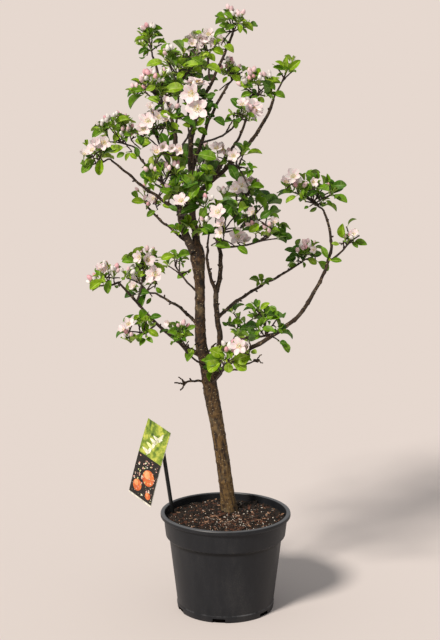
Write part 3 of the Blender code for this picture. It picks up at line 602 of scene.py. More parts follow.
@dataclass
class Pot:
    """The nursery pot: a turned shell with a rim bead, a rim band, a step and a notched foot."""

    height: float = 214 * MM
    wall: float = 2.6 * MM
    floor: float = 3 * MM
    rim_radius: float = 140 * MM
    bead_height: float = 9 * MM
    bead_round: float = 3.2 * MM
    band_top: float = 133.5 * MM
    band_foot: float = 129 * MM
    band_height: float = 163 * MM
    body_top: float = 120.5 * MM
    body_height: float = 157 * MM
    foot_radius: float = 103 * MM
    foot_ring: float = 13 * MM
    ring_proud: float = 1.4 * MM
    notch_count: int = 6
    notch_turn: float = math.radians(-98)
    notch_width: float = 27 * MM
    notch_height: float = 9 * MM
    notch_depth: float = 2.9 * MM
    columns: int = 300
    warp: float = 0.5 * MM

    def body_radius(self, height: float) -> float:
        """The outer radius of the tapering body at a height."""
        return self.foot_radius + (self.body_top - self.foot_radius) * height / self.body_height

    def outer_profile(self) -> Array:
        """The outline from the inner lip over the rim bead and down to the notches' level.

        Returns:
            Radii and heights, one row each.
        """
        base = self.height - self.bead_height
        low = self.notch_height + 0.5 * MM
        ring = self.foot_ring
        return rounded([
            (self.band_top - self.wall, base - 4 * MM, 0),
            (self.band_top - self.wall, self.height - 1 * MM, 1 * MM),
            (self.band_top - self.wall + 1.6 * MM, self.height, 1 * MM),
            (self.rim_radius, self.height, self.bead_round),
            (self.rim_radius, base, 2.4 * MM),
            (self.band_top + 0.6 * MM, base - 0.4 * MM, 0.9 * MM),
            (self.band_top - 0.3 * MM, base - 3 * MM, 1.5 * MM),
            (self.band_foot, self.band_height, 2.2 * MM),
            (self.body_top + 1.2 * MM, self.body_height + 1.2 * MM, 2.6 * MM),
            (self.body_radius(ring + 3 * MM), ring + 3 * MM, 0.8 * MM),
            (self.body_radius(ring) + self.ring_proud, ring, 0.8 * MM),
            (self.body_radius(low) + self.ring_proud, low, 0),
        ])

    def angles(self) -> tuple[Array, Array]:
        """The columns of points round the pot, close together at the notches' edges.

        Returns:
            The columns' angles, and which of them lie in a notch.
        """
        half = self.notch_width / 2 / self.foot_radius
        edge = 0.2 * MM / self.foot_radius
        middles = self.notch_turn + np.arange(self.notch_count) * math.tau / self.notch_count
        edges = [middles + side * half + step * edge for side in (-1, 1) for step in (-1, 1)]
        angles = np.concatenate([np.arange(self.columns) * math.tau / self.columns, *edges]) % math.tau
        angles = np.unique(angles.round(7))
        away = (angles[:, None] - middles + math.pi) % math.tau - math.pi
        return angles, (np.abs(away) < half).any(axis=1)

    def shell(self) -> Shape:
        """The shell: outline turned about the axis, with the foot raised in each notch.

        A point is (radius cos a, radius sin a, height). The rim waves by a fraction of a
        millimetre, twice round, as thin mouldings do once they are full.

        Returns:
            The closed shell.
        """
        angles, notched = self.angles()
        outer = self.outer_profile()
        low = self.notch_height
        foot = self.body_radius(0) + self.ring_proud
        inside = foot - self.notch_depth
        rows = [(outer[:, :1] + 0 * angles, outer[:, 1:] + 0 * angles)]
        for radius, height, lifted in (
            (foot, 1.6 * MM, foot + 0.3 * MM), (foot - 0.5 * MM, 0.5 * MM, foot),
            (foot - 1.6 * MM, 0, foot - 2 * MM), (inside + 0.6 * MM, 0, inside),
        ):
            rows.append((np.where(notched, lifted, radius)[None], np.where(notched, low, height)[None]))
        hollow = self.body_radius(self.floor) - self.wall
        for radius, height in (
            (inside - 0.2 * MM, 0), (4 * MM, 0), (4 * MM, self.floor), (hollow, self.floor),
            (self.body_top - self.wall, self.body_height),
            (self.band_foot - self.wall, self.band_height + self.wall),
            (self.band_top - self.wall, self.height - self.bead_height - 4 * MM - 1e-5),
        ):
            rows.append((np.full((1, len(angles)), radius), np.full((1, len(angles)), height)))
        radii, heights = (np.concatenate(part) for part in zip(*rows))
        share = np.clip((heights - self.body_height) / (self.height - self.body_height), 0, 1)
        radii = radii + self.warp * share * np.cos(2 * angles + 0.7)
        heights = heights - self.warp * share * (1 + np.cos(2 * angles + 1.9)) / 2
        verts = np.stack([radii * np.cos(angles), radii * np.sin(angles), heights], axis=-1)
        count = len(radii)
        faces = [grid_faces(count, len(angles), True)[:, ::-1]]
        # The faces of the notches' recess take the second material, which paints the shade in them
        shaded_notch_faces = np.zeros((count - 1, len(angles)), int)
        shaded_notch_faces[len(outer) + 1:len(outer) + 4] = notched | np.roll(notched, -1)
        last = (count - 1) * len(angles)
        seam = np.arange(len(angles))
        after = (seam + 1) % len(angles)
        faces.append(np.stack([last + seam, seam, after, last + after], axis=-1))
        return Shape(verts.reshape(-1, 3), faces, [shaded_notch_faces.ravel(), np.zeros(len(angles), int)])

    def build(self) -> None:
        """Makes the pot's shell and gives it its plastic."""
        # Painted shadow under the step's overhang, the rubbed edge of the foot ring, and a painted highlight
        # along the rim's top
        bands = (WearShadeAndHighlightBand(self.body_height, 1.5 * MM, 5.5 * MM, 0.8, "#060606"),
                 WearShadeAndHighlightBand(self.foot_ring + 2 * MM, 0.4 * MM, 1.8 * MM, 0.6, "#6a6c70", True),
                 # Painted highlight: a pale line along the rim's top, where the bead catches the light
                 WearShadeAndHighlightBand(self.height, 0.9 * MM, 1.8 * MM, 0.3, "#8b8e96"))
        # Black recycled polypropylene, moulded: charcoal and matt, greyer where it is rubbed
        plastic = MouldedPlastic("charcoal_polypropylene", "#1a1c20", "#24262b", "#625d54", 0.15, 0.46,
                                 polish_height=self.height, splash_height=34 * MM, bands=bands)
        # Painted shade in the drain notches: a near-black, matt colour where the recess lies in shade
        notch_shade_paint = Mottled("painted_shade_in_notches", ((0.4, "#020202"), (0.7, "#0a0807")), 4 * MM, 0.9,
                        specular=0.03)
        materials = [plastic.material(), notch_shade_paint.material()]
        make_piece("pot_shell", self.shell(), materials, ("pot",), sharp=35)


@dataclass
class CompostBed:
    """The compost: a lumpy bed that fills the pot, with bark chips, grit and mineral grains on it."""

    pot: Pot
    wall_height: float = 199 * MM
    mound_height: float = 206 * MM
    mound_radius: float = 66 * MM
    lump: float = 13 * MM
    lump_height: float = 2.6 * MM
    crumb: float = 4 * MM
    crumb_height: float = 1.1 * MM
    rings: int = 110
    columns: int = 240
    gap: float = 0.6 * MM
    eye: float = 0.4 * MM
    settle: float = 1.5 * MM
    margin: float = 3 * MM
    tilt: float = 0.35
    smallness: float = 2.2
    chips: int = 1150
    crumbs: int = 2200
    grains: int = 380
    gather_place: tuple[float, float] = (6 * MM, -48 * MM)
    gather_size: tuple[float, float] = (44 * MM, 36 * MM)
    gathered: float = 0.55
    stray: float = 0.1
    mix: tuple[int, ...] = (0, 1, 0, 2, 0, 1, 2, 0, 1, 0, 2, 3)
    showy: tuple[int, ...] = (2, 3)
    seed: int = 11

    def radius(self) -> float:
        """How far the bed reaches at the wall.

        Returns:
            The wall's inner radius at the bed's height, less a small gap.
        """
        pot = self.pot
        slope = (pot.band_top - pot.band_foot) / (pot.height - pot.band_height)
        return pot.band_foot + slope * (self.wall_height - pot.band_height) - pot.wall - self.gap

    def surface(self, across: Array) -> Array:
        """The bed's height: a flat mound that falls to the wall, plus large and small lumps.

        Args:
            across: x and y of each place.

        Returns:
            One height for each place.
        """
        reach = np.linalg.norm(across, axis=1)
        fall = np.clip((reach - self.mound_radius) / (self.radius() - self.mound_radius), 0, 1)
        level = self.mound_height + (self.wall_height - self.mound_height) * fall
        flat = np.concatenate([across, np.zeros((len(across), 1))], axis=1)
        lumps = self.lump_height * noise(flat, self.lump, 3) + self.crumb_height * noise(flat, self.crumb, 4)
        return level + lumps - self.settle

    def bed(self) -> Shape:
        """The bed: rings of points on the height field, then its side and underside.

        Returns:
            A closed shape.
        """
        reach = self.radius()
        radii = np.linspace(self.eye, reach, self.rings)
        angles = np.arange(self.columns) * math.tau / self.columns
        ring = np.stack([np.cos(angles), np.sin(angles)], axis=-1)
        flat = radii[:, None, None] * ring[None]
        top = np.concatenate([flat, self.surface(flat.reshape(-1, 2)).reshape(self.rings, -1, 1)], axis=-1)
        pot = self.pot
        low = pot.notch_height + self.gap
        wall = pot.wall + self.gap
        heel, floor = pot.foot_radius - pot.notch_depth - 2 * MM, pot.floor + self.gap
        lower = [(pot.band_foot - wall, pot.band_height + wall), (pot.body_top - wall, pot.body_height),
                 (pot.body_radius(low) - wall, low), (heel, low), (heel, floor), (self.eye, floor)]
        side = np.stack([np.concatenate([r * ring, np.full((len(ring), 1), z)], axis=1) for r, z in lower])
        verts = np.concatenate([top, side]).reshape(-1, 3)
        rows = self.rings + len(lower)
        faces = [grid_faces(rows, self.columns, True)[:, ::-1]]
        faces.append(np.arange(self.columns)[None])
        faces.append((rows - 1) * self.columns + np.arange(self.columns)[None, ::-1])
        return Shape(verts, faces, [np.zeros(len(f), int) for f in faces])

    def scattered(
        self, count: int, sizes: tuple[Array, Array], sink: float, gathered: float,
        dice: np.random.Generator,
    ) -> Array:
        """Placements of small things strewn on the bed, turned at random and nearly flat.

        Args:
            count: how many.
            sizes: the least and greatest length, width and thickness.
            sink: how deep they lie, as a share of their thickness.
            gathered: the share of them that lie round the gathering place in front of the trunk.
            dice: the seeded random numbers.

        Returns:
            (count, 3, 4) matrices.
        """
        reach = (self.radius() - self.margin) * np.sqrt(dice.uniform(0, 1, count))
        angle = dice.uniform(0, math.tau, count)
        across = np.stack([reach * np.cos(angle), reach * np.sin(angle)], axis=1)
        drawn = dice.normal(0, 1, (count, 2)) * self.gather_size + self.gather_place
        kept = np.linalg.norm(drawn, axis=1) < self.radius() - self.margin - MM
        near = (dice.uniform(0, 1, count) < gathered) & kept
        across[near] = drawn[near]
        bulk = dice.uniform(0, 1, (count, 1)) ** self.smallness
        size = sizes[0] + (sizes[1] - sizes[0]) * bulk * dice.uniform(0.6, 1, (count, 3))
        turn = dice.uniform(0, math.tau, count)
        tilts = [dice.normal(0, self.tilt, count) for _ in range(2)]
        normal = unit(np.stack([*tilts, np.ones(count)], axis=1))
        first = np.stack([np.cos(turn), np.sin(turn), np.zeros(count)], axis=1)
        first = unit(first - normal * np.sum(first * normal, axis=1, keepdims=True))
        axes = np.stack([first, np.cross(normal, first), normal], axis=-1) * size[:, None, :]
        height = self.surface(across) + size[:, 2] * (0.5 - sink)
        return np.concatenate([axes, np.column_stack([across, height])[:, :, None]], axis=-1)

    def shard(self, seed: int) -> Shape:
        """A chip: a box one wide, whose corners are each drawn in by up to a third at random.

        Args:
            seed: for the random numbers.

        Returns:
            A closed shape.
        """
        dice = np.random.default_rng(seed)
        square = ((-0.5, -0.5), (0.5, -0.5), (0.5, 0.5), (-0.5, 0.5))
        corners = np.array([[x, y, z] for z in (-0.5, 0.5) for x, y in square])
        corners = corners * (1 - 0.35 * dice.uniform(0, 1, (8, 3)))
        sides = [[index, (index + 1) % 4, (index + 1) % 4 + 4, index + 4] for index in range(4)]
        faces = np.array([[3, 2, 1, 0], [4, 5, 6, 7], *sides])
        return Shape(corners, [faces], [np.zeros(len(faces), int)])

    def grain(self, seed: int) -> Shape:
        """A round grain: two rings of six points and two poles, each drawn in a little at random.

        Args:
            seed: for the random numbers.

        Returns:
            A closed shape, one across.
        """
        dice = np.random.default_rng(seed)
        angles = np.arange(6) * math.tau / 6
        rings = [np.stack([0.43 * np.cos(angles + z), 0.43 * np.sin(angles + z), np.full(6, z)], axis=1)
                 for z in (-0.25, 0.25)]
        verts = np.concatenate([*rings, [[0, 0, -0.5], [0, 0, 0.5]]])
        verts = verts * (1 - 0.25 * dice.uniform(0, 1, (14, 1)))
        first, second = np.arange(6), (np.arange(6) + 1) % 6
        low = np.stack([np.full(6, 12), second, first], axis=1)
        high = np.stack([np.full(6, 13), 6 + first, 6 + second], axis=1)
        faces = [grid_faces(2, 6, True), np.concatenate([low, high])]
        return Shape(verts, faces, [np.zeros(len(f), int) for f in faces])

    def strewn(
        self, shapes: list[Shape], count: int, low: Triple, high: Triple, sink: float,
        kinds: tuple[int, ...], seed: int,
    ) -> Shape:
        """Small things of several forms and materials strewn on the bed.

        Args:
            shapes: the forms, taken in turn.
            count: how many in all.
            low: the least length, width and thickness in millimetres.
            high: the greatest.
            sink: how deep they lie, as a share of their thickness.
            kinds: the materials, dealt to the forms in turn.
            seed: for the random numbers.

        Returns:
            One shape.
        """
        dice = np.random.default_rng(seed)
        parts = []
        for index, shape in enumerate(shapes):
            kind = kinds[index % len(kinds)]
            gathered = self.gathered if kind in self.showy or len(kinds) == 1 else self.stray
            sizes = (np.array(low) * MM, np.array(high) * MM)
            places = self.scattered(count // len(shapes), sizes, sink, gathered, dice)
            blocks = [np.full(len(block), kind) for block in shape.faces]
            parts.append(Shape(shape.verts, shape.faces, blocks).copies(places))
        return joined(parts)

    def build(self) -> None:
        """Makes the bed and what lies on it."""
        # Damp peat and composted bark: nearly black, crumbly, with no gloss
        browns = ((0.3, "#0c0806"), (0.75, "#2a1d14"), (0.5, "#17100b"))
        peat = Mottled("damp_peat_compost", browns, 5 * MM, 0.92)
        make_piece("compost_bed", self.bed(), [peat.material()], ("soil",), sharp=80)
        # Composted pine bark in chips: red-brown, paler where it has split
        chips = [Mottled("pine_bark_chip_%s" % word, ((0.3, dark), (0.7, light)), 3 * MM, 0.85).material()
                 for word, dark, light in (("dark", "#0f0a07", "#211610"), ("brown", "#20150f", "#3d2a1c"),
                                           ("red", "#3a2015", "#653d29"), ("pale", "#6d4f3a", "#b08a70"))]
        forms = [self.shard(seed) for seed in range(12)]
        shape = self.strewn(forms, self.chips, (3.5, 2.5, 1), (14, 7.5, 3), 0.25, self.mix, self.seed)
        make_piece("bark_chips", shape, chips, sharp=30)
        crumbs = self.strewn(forms, self.crumbs, (1.4, 1.2, 1), (4.2, 3.4, 2.6), 0.2, self.mix,
                             self.seed + 1)
        make_piece("peat_crumbs", crumbs, chips, sharp=30)
        # Perlite: volcanic glass puffed up by heat into white, brittle grains
        perlite = Mottled("white_perlite", ((0.35, "#b9ab9a"), (0.65, "#efe9e0")), 1.5 * MM, 0.8, 0.3)
        rounds = [self.grain(seed) for seed in range(5)]
        grains = self.strewn(rounds, self.grains, (1.6, 1.6, 1.4), (5, 4.4, 4), 0.2, (0,), self.seed + 2)
        make_piece("perlite_grains", grains, [perlite.material()], sharp=60)


@dataclass
class PlantLabel:
    """The printed plant label: a bowed card with a plain sprig and discs, on a flat black stake."""

    centre: Array = field(default_factory=lambda: np.array([-167, 40, 310]) * MM)
    across: Array = field(default_factory=lambda: unit(np.array([51.0, -54.0, -20.0])))
    down: Array = field(default_factory=lambda: unit(np.array([-46.0, 20.0, -173.0])))
    width: float = 77 * MM
    height: float = 180 * MM
    thickness: float = 1 * MM
    corner: float = 3.5 * MM
    bow: float = 2.2 * MM
    stake_foot: Array = field(default_factory=lambda: np.array([-116, 34, 201]) * MM)
    stake_top: tuple[float, float] = (22 * MM, 50 * MM)
    stake_width: float = 9 * MM
    stake_thickness: float = 6 * MM
    green_share: float = 0.44
    ink: float = 0.08 * MM
    dots: int = 110

    def axes(self) -> tuple[Array, Array, Array]:
        """The card's own directions.

        Returns:
            Across, upward and out of its printed face.
        """
        upward = -self.down
        across = unit(self.across - upward * (self.across @ upward))
        return across, upward, np.cross(across, upward)

    def on_card(self, flat: Array, lift: Array | float) -> Array:
        """Places on the card: centre + x across + y upward + (lift + bow) outward.

        The bow falls from the middle of the card's height to its two ends by the square of
        the distance, so the card curls a little backward.

        Args:
            flat: x and y on the card in metres, from its middle.
            lift: how far in front of the card's middle surface.

        Returns:
            Points, one row each.
        """
        across, upward, outward = self.axes()
        curl = -self.bow * (2 * flat[:, 1] / self.height) ** 2
        return (self.centre + flat[:, :1] * across + flat[:, 1:] * upward
                + (np.asarray(lift) + curl)[:, None] * outward)

    def sheet(self) -> Shape:
        """The card: a rounded rectangle in shrinking rings, front and back, closed at its edge.

        Returns:
            A closed shape, with its front, back and edge as kinds 0, 1 and 1.
        """
        x, y, r = self.width / 2, self.height / 2, self.corner
        ring = rounded([(0, -y, 0), (x, -y, r), (x, y, r), (-x, y, r), (-x, -y, r), (0, -y, 0)], 6)[:-1]
        sides = []
        for first, last in zip(ring, np.roll(ring, -1, axis=0)):
            steps = max(1, int(np.linalg.norm(last - first) / (8 * MM)))
            sides.append(first + (last - first) * np.arange(steps)[:, None] / steps)
        ring = np.concatenate(sides)
        shares = np.array([1, 0.94, 0.7, 0.45, 0.2, 0.02])
        half = self.thickness / 2
        rows = [self.on_card(ring * share, np.full(len(ring), half)) for share in shares[::-1]]
        rows += [self.on_card(ring * share, np.full(len(ring), -half)) for share in shares]
        faces = grid_faces(len(rows), len(ring), True)[:, ::-1]
        kinds = np.where(np.arange(len(faces)) < (len(shares) - 1) * len(ring), 0, 1)
        middle = [np.arange(len(ring))[None], (len(rows) - 1) * len(ring) + np.arange(len(ring))[None, ::-1]]
        return Shape(np.concatenate(rows), [faces, *middle], [kinds, np.array([0]), np.array([1])])

    def patch(self, outline: Array, kind: int, layer: int, rings: int = 6) -> Shape:
        """A flat motif: its outline in rings that shrink to its middle, laid on the card.

        Args:
            outline: x and y of its corners in metres, anticlockwise.
            kind: its material.
            layer: motifs of a higher layer lie over lower ones.
            rings: how many rings.

        Returns:
            The motif, one face thick.
        """
        middle = outline.mean(axis=0)
        shares = np.linspace(0.02, 1, rings)
        flat = np.concatenate([middle + (outline - middle) * share for share in shares])
        verts = self.on_card(flat, np.full(len(flat), self.thickness / 2 + layer * self.ink))
        faces = grid_faces(rings, len(outline), True)[:, ::-1]
        cap = np.arange(len(outline))[None]
        return Shape(verts, [faces, cap], [np.full(len(faces), kind), np.array([kind])])

    def box_outline(self, low: float, high: float, inset: float) -> Array:
        """A band of the card between two shares of its height.

        Args:
            low: the share at its lower edge.
            high: the share at its upper edge.
            inset: how far it stays from the card's sides.

        Returns:
            Its corners and the points between them, anticlockwise.
        """
        x = self.width / 2 - inset
        bottom, top = ((share - 0.5) * (self.height - 2 * inset) for share in (low, high))
        across = np.linspace(-x, x, 9)
        upward = np.linspace(bottom, top, 17)
        sides = [np.column_stack([across, np.full(9, bottom)])[:-1],
                 np.column_stack([np.full(17, x), upward])[:-1],
                 np.column_stack([across[::-1], np.full(9, top)])[:-1],
                 np.column_stack([np.full(17, -x), upward[::-1]])[:-1]]
        return np.concatenate(sides)

    def round_outline(
        self, x: float, y: float, wide: float, high: float, turn: float = 0.0, point: float = 0.0,
    ) -> Array:
        """A disc or leaf outline: an ellipse that may be drawn to a point at its far end.

        Args:
            x: its middle across the card in millimetres.
            y: its middle up the card.
            wide: its width.
            high: its height.
            turn: how far it is turned.
            point: how much narrower its far end is, as a share of its width.

        Returns:
            Its points in metres.
        """
        a = np.arange(28) * math.tau / 28
        along, beside = np.cos(a) * high / 2, np.sin(a) * wide / 2 * (1 - point * (1 + np.cos(a)) / 2)
        turned = np.column_stack([beside * math.cos(turn) - along * math.sin(turn),
                                  beside * math.sin(turn) + along * math.cos(turn)])
        return (turned * [-1, 1] + [x, y]) * MM

    def print_shapes(self) -> Shape:
        """The print: two fields, a pale sprig, three warm discs with their lights, and small dots.

        The artwork is given in millimetres from the card's middle.

        Returns:
            One shape, with its inks as kinds 0 to 6.
        """
        split = 1 - self.green_share
        parts = [self.patch(self.box_outline(split, 1, 0.4 * MM), 0, 1),
                 self.patch(self.box_outline(0.02, split, 0.4 * MM), 1, 1)]
        stem = [(-12 + 32 * t, 14 + 48 * t + 8 * math.sin(3 * t)) for t in np.linspace(0, 1, 14)]
        for (x, y), (x2, y2) in zip(stem, stem[1:]):
            turn = math.atan2(y2 - y, x2 - x) - math.pi / 2
            twig = self.round_outline((x + x2) / 2, (y + y2) / 2, 2.4, 7.5, -turn)
            parts.append(self.patch(twig, 4, 2, 3))
        for index, (x, y) in enumerate(stem[1:-1:3]):
            for side in (-1, 1):
                lean = side * 0.85 - 0.5
                spot = (x + 10 * math.sin(lean), y + 10 * math.cos(lean))
                leaf = self.round_outline(*spot, 12, 23, lean, 0.7)
                parts.append(self.patch(leaf, 4 if (index + side) % 3 else 5, 3, 4))
        for x, y, size in ((11, -33, 38), (-17, -62, 28), (22, -71, 17)):
            parts.append(self.patch(self.round_outline(x, y, size, size * 0.94), 2, 2))
            light = self.round_outline(x - size * 0.16, y + size * 0.14, size * 0.5, size * 0.45, 0.5)
            parts.append(self.patch(light, 3, 3))
        dice = np.random.default_rng(5)
        rows = zip(*(dice.uniform(*span, self.dots) for span in ((-34, 34), (-80, 6), (2, 6), (0, 3))))
        for index, (x, y, size, turn) in enumerate(rows):
            if y < dice.uniform(-90, 10):
                size *= 0.5
            dot = self.round_outline(x, y, size * 0.6, size, turn)
            parts.append(self.patch(dot, (4, 6, 5, 6)[index % 4], 2, 2))
        return joined(parts)

    def stake(self) -> Shape:
        """The stake: a flat bar with rounded edges, whose section is a squared ellipse.

        A section point is x = half width times cos a to the power 0.5, y the same with the
        half thickness and sin a, both with their signs kept.

        Returns:
            A closed shape.
        """
        across, upward, outward = self.axes()
        behind = -outward * (self.thickness / 2 + self.stake_thickness / 2 + 0.3 * MM + self.bow * 0.4)
        top = self.centre + across * self.stake_top[0] + upward * self.stake_top[1] + behind
        rows = np.linspace(0, 1, 40)[:, None]
        path = self.stake_foot + (top - self.stake_foot) * rows
        way = unit(top - self.stake_foot)
        side = unit(across - way * (across @ way))
        depth = np.cross(way, side)
        a = np.arange(16) * math.tau / 16
        taper = np.clip((1 - rows) / 0.03, 0.35, 1)
        x = np.sign(np.cos(a)) * np.sqrt(np.abs(np.cos(a))) * self.stake_width / 2 * taper
        y = np.sign(np.sin(a)) * np.sqrt(np.abs(np.sin(a))) * self.stake_thickness / 2
        verts = path[:, None] + x[:, :, None] * side + (y[None, :, None] + 0 * x[:, :, None]) * depth
        faces = [grid_faces(40, 16, True), np.arange(16)[None, ::-1], 39 * 16 + np.arange(16)[None]]
        return Shape(verts.reshape(-1, 3), faces, [np.zeros(len(f), int) for f in faces])

    def build(self) -> None:
        """Makes the card, its print and its stake."""
        # White polystyrene sheet, gloss-coated: smooth, bright and slightly curled
        sheet = LivingTissue("white_polystyrene_sheet", "#d9d6cb", 0.35, 2 * MM, 0.03)
        rear = LivingTissue("unprinted_card_back", "#c9c6ba", 0.5, 2 * MM, 0.03)
        faces = [sheet.material(), rear.material()]
        make_piece("label_sheet", self.sheet(), faces, ("label_card",))
        # Offset printing inks under gloss varnish: soft blotches of colour
        greens = ((0.34, "#31501a"), (0.66, "#cdd05a"), (0.5, "#7f982c"))
        field_ink = Mottled("leaf_green_print", greens, 15 * MM, 0.3, 0.0)
        dark_ink = Mottled("dark_print", ((0.35, "#080706"), (0.7, "#28211c")), 7 * MM, 0.5, 0.0)
        disc_ink = Mottled("warm_disc_print", ((0.3, "#b8431c"), (0.7, "#e5823f")), 14 * MM, 0.3, 0.0)
        light_ink = Mottled("disc_light_print", ((0.3, "#e58a4a"), (0.7, "#f4b884")), 9 * MM, 0.3, 0.0)
        inks = [ink.material() for ink in (field_ink, dark_ink, disc_ink, light_ink)]
        inks += [LivingTissue(name, colour, 0.3, relief=0.0).material() for name, colour in (
            ("cream_print", "#f1efd2"), ("pale_leaf_print", "#dfe6a0"), ("rose_dot_print", "#dbab9f"))]
        make_piece("label_print", self.print_shapes(), inks)
        stake = MouldedPlastic("black_label_stake", "#141516", "#1f2123", "#5a554c", 0.12, 0.42)
        make_piece("label_stake", self.stake(), [stake.material()], ("label_stick",))


@dataclass
class Bough:
    """One limb in the source's terms: where it springs, its tip, bow and sway, in millimetres."""

    name: str
    parent: str
    at: float
    tip: tuple[float, float, float]
    radii: tuple[float, float]
    bow: tuple[float, float] = (0, 0)
    sway: tuple[float, float] = (0, 0)
    points: int = 9


@dataclass
class Mass:
    """One foliage mass in the source's terms, with the open flowers that show in its front."""

    name: str
    carrier: str
    at: float
    centre: tuple[float, float, float]
    radii: tuple[float, float, float]
    shoots: int
    flowers: int = 0
    buds: int = 0
    stem: float = 2.4
    light: float = 0.55


@dataclass
class Shown:
    """What shows of a mass from the front: open flowers, clusters of buds, and single leaves.

    A flower's fourth number is its size in hundredths. The fill is the share of the rule's
    leaves that the mass keeps, slim how wide its leaves are for their length, scale their size.
    """

    flowers: list[tuple[int, int, int, int]] = field(default_factory=list)
    clusters: list[tuple[int, int, int]] = field(default_factory=list)
    leaves: list[tuple[int, int, int, int, int, int]] = field(default_factory=list)
    slim: float = 0.58
    fill: float = 1.0
    scale: float = 1.0


TRUNK_STATIONS = [  # x, y, z and radius in millimetres, from below the compost to the fork
    (12, 36, 170, 15.5), (7, 34, 215, 15.2), (-3, 31, 297, 14.8), (-18, 28, 397, 14.6), (-30, 25, 465, 15.8),
    (-41, 20, 534, 14.2), (-51, 14, 570, 12.6), (-54, 8, 620, 11.2), (-54, 4, 690, 10.2), (-56, 1, 735, 12),
    (-59, 0, 769, 15.5), (-62, 0, 802, 11.5),
]
FORK_OFFSETS = {"left_leader": (-6, -7, 0), "right_leader": (2, 9, 0)}
BOUGHS = [  # name, parent, place on it, tip, root and tip radius, bow, sway
    Bough("second_stem", "trunk", 0.50, (-19, 5, 700), (6.6, 5.2), (13, 0), (-17, 0)),
    Bough("second_stem_fork", "second_stem", 0.97, (-18, 40, 836), (4.9, 3.6), (7, 0), (-6, 0)),
    Bough("left_leader", "trunk", 0.965, (-107, 20, 1035), (8.4, 4.6), (-15, -3), (12, 2)),
    Bough("right_leader", "trunk", 0.965, (-73, 20, 975), (7.8, 5.6), (-5, 0)),
    Bough("top_bough", "right_leader", 1.0, (14, 0, 1225), (4.6, 2.4), (-12, 4), (11, -4)),
    Bough("right_inner_bough", "right_leader", 0.80, (3, 60, 1118), (4.4, 2.5), (-6, 6)),
    Bough("left_top_bough", "left_leader", 1.0, (-151, 50, 1178), (3.6, 2.2), (2, 1)),
    Bough("right_upper_arm", "right_leader", 0.56, (99, 40, 1092), (5.4, 3.0), (14, -13), (7, -6)),
    Bough("right_upper_twin", "right_upper_arm", 0.22, (50, -60, 1098), (3.2, 2.2), (8, -7), (6, -6)),
    Bough("right_lower_arm", "second_stem", 0.06, (171, -30, 675), (5.2, 4.0), (1, -2), (14, -17)),
    Bough("right_lower_riser", "right_lower_arm", 1.0, (203, -20, 862), (3.9, 2.4), (26, -4), (7, 0)),
    Bough("right_middle_bough", "second_stem", 0.70, (160, 170, 727), (3.6, 2.3), (-2, 6), (2, -6)),
    Bough("right_front_bough", "second_stem", 0.34, (56, -138, 625), (3.3, 2.3), (-2, 8)),
    Bough("left_lower_arm", "trunk", 0.60, (-217, -60, 719), (4.3, 2.2), (-5, -12), (4, 3)),
    Bough("left_middle_bough", "trunk", 0.70, (-151, 150, 664), (3.6, 2.3), (2, 9), (-1, -4)),
    Bough("left_fork_bough", "trunk", 0.97, (-166, 45, 868), (3.4, 2.2), (-1, -3)),
    Bough("left_long_arm", "left_leader", 0.34, (-233, -30, 969), (3.6, 2.1), (-2, -3), (2, 2)),
    Bough("left_back_arm", "left_leader", 0.46, (-196, 150, 983), (3.4, 2.1), (-3, -9)),
    Bough("bare_spur", "trunk", 0.515, (-90, 4, 496), (2.6, 2.0), (0, 3), points=4),
]
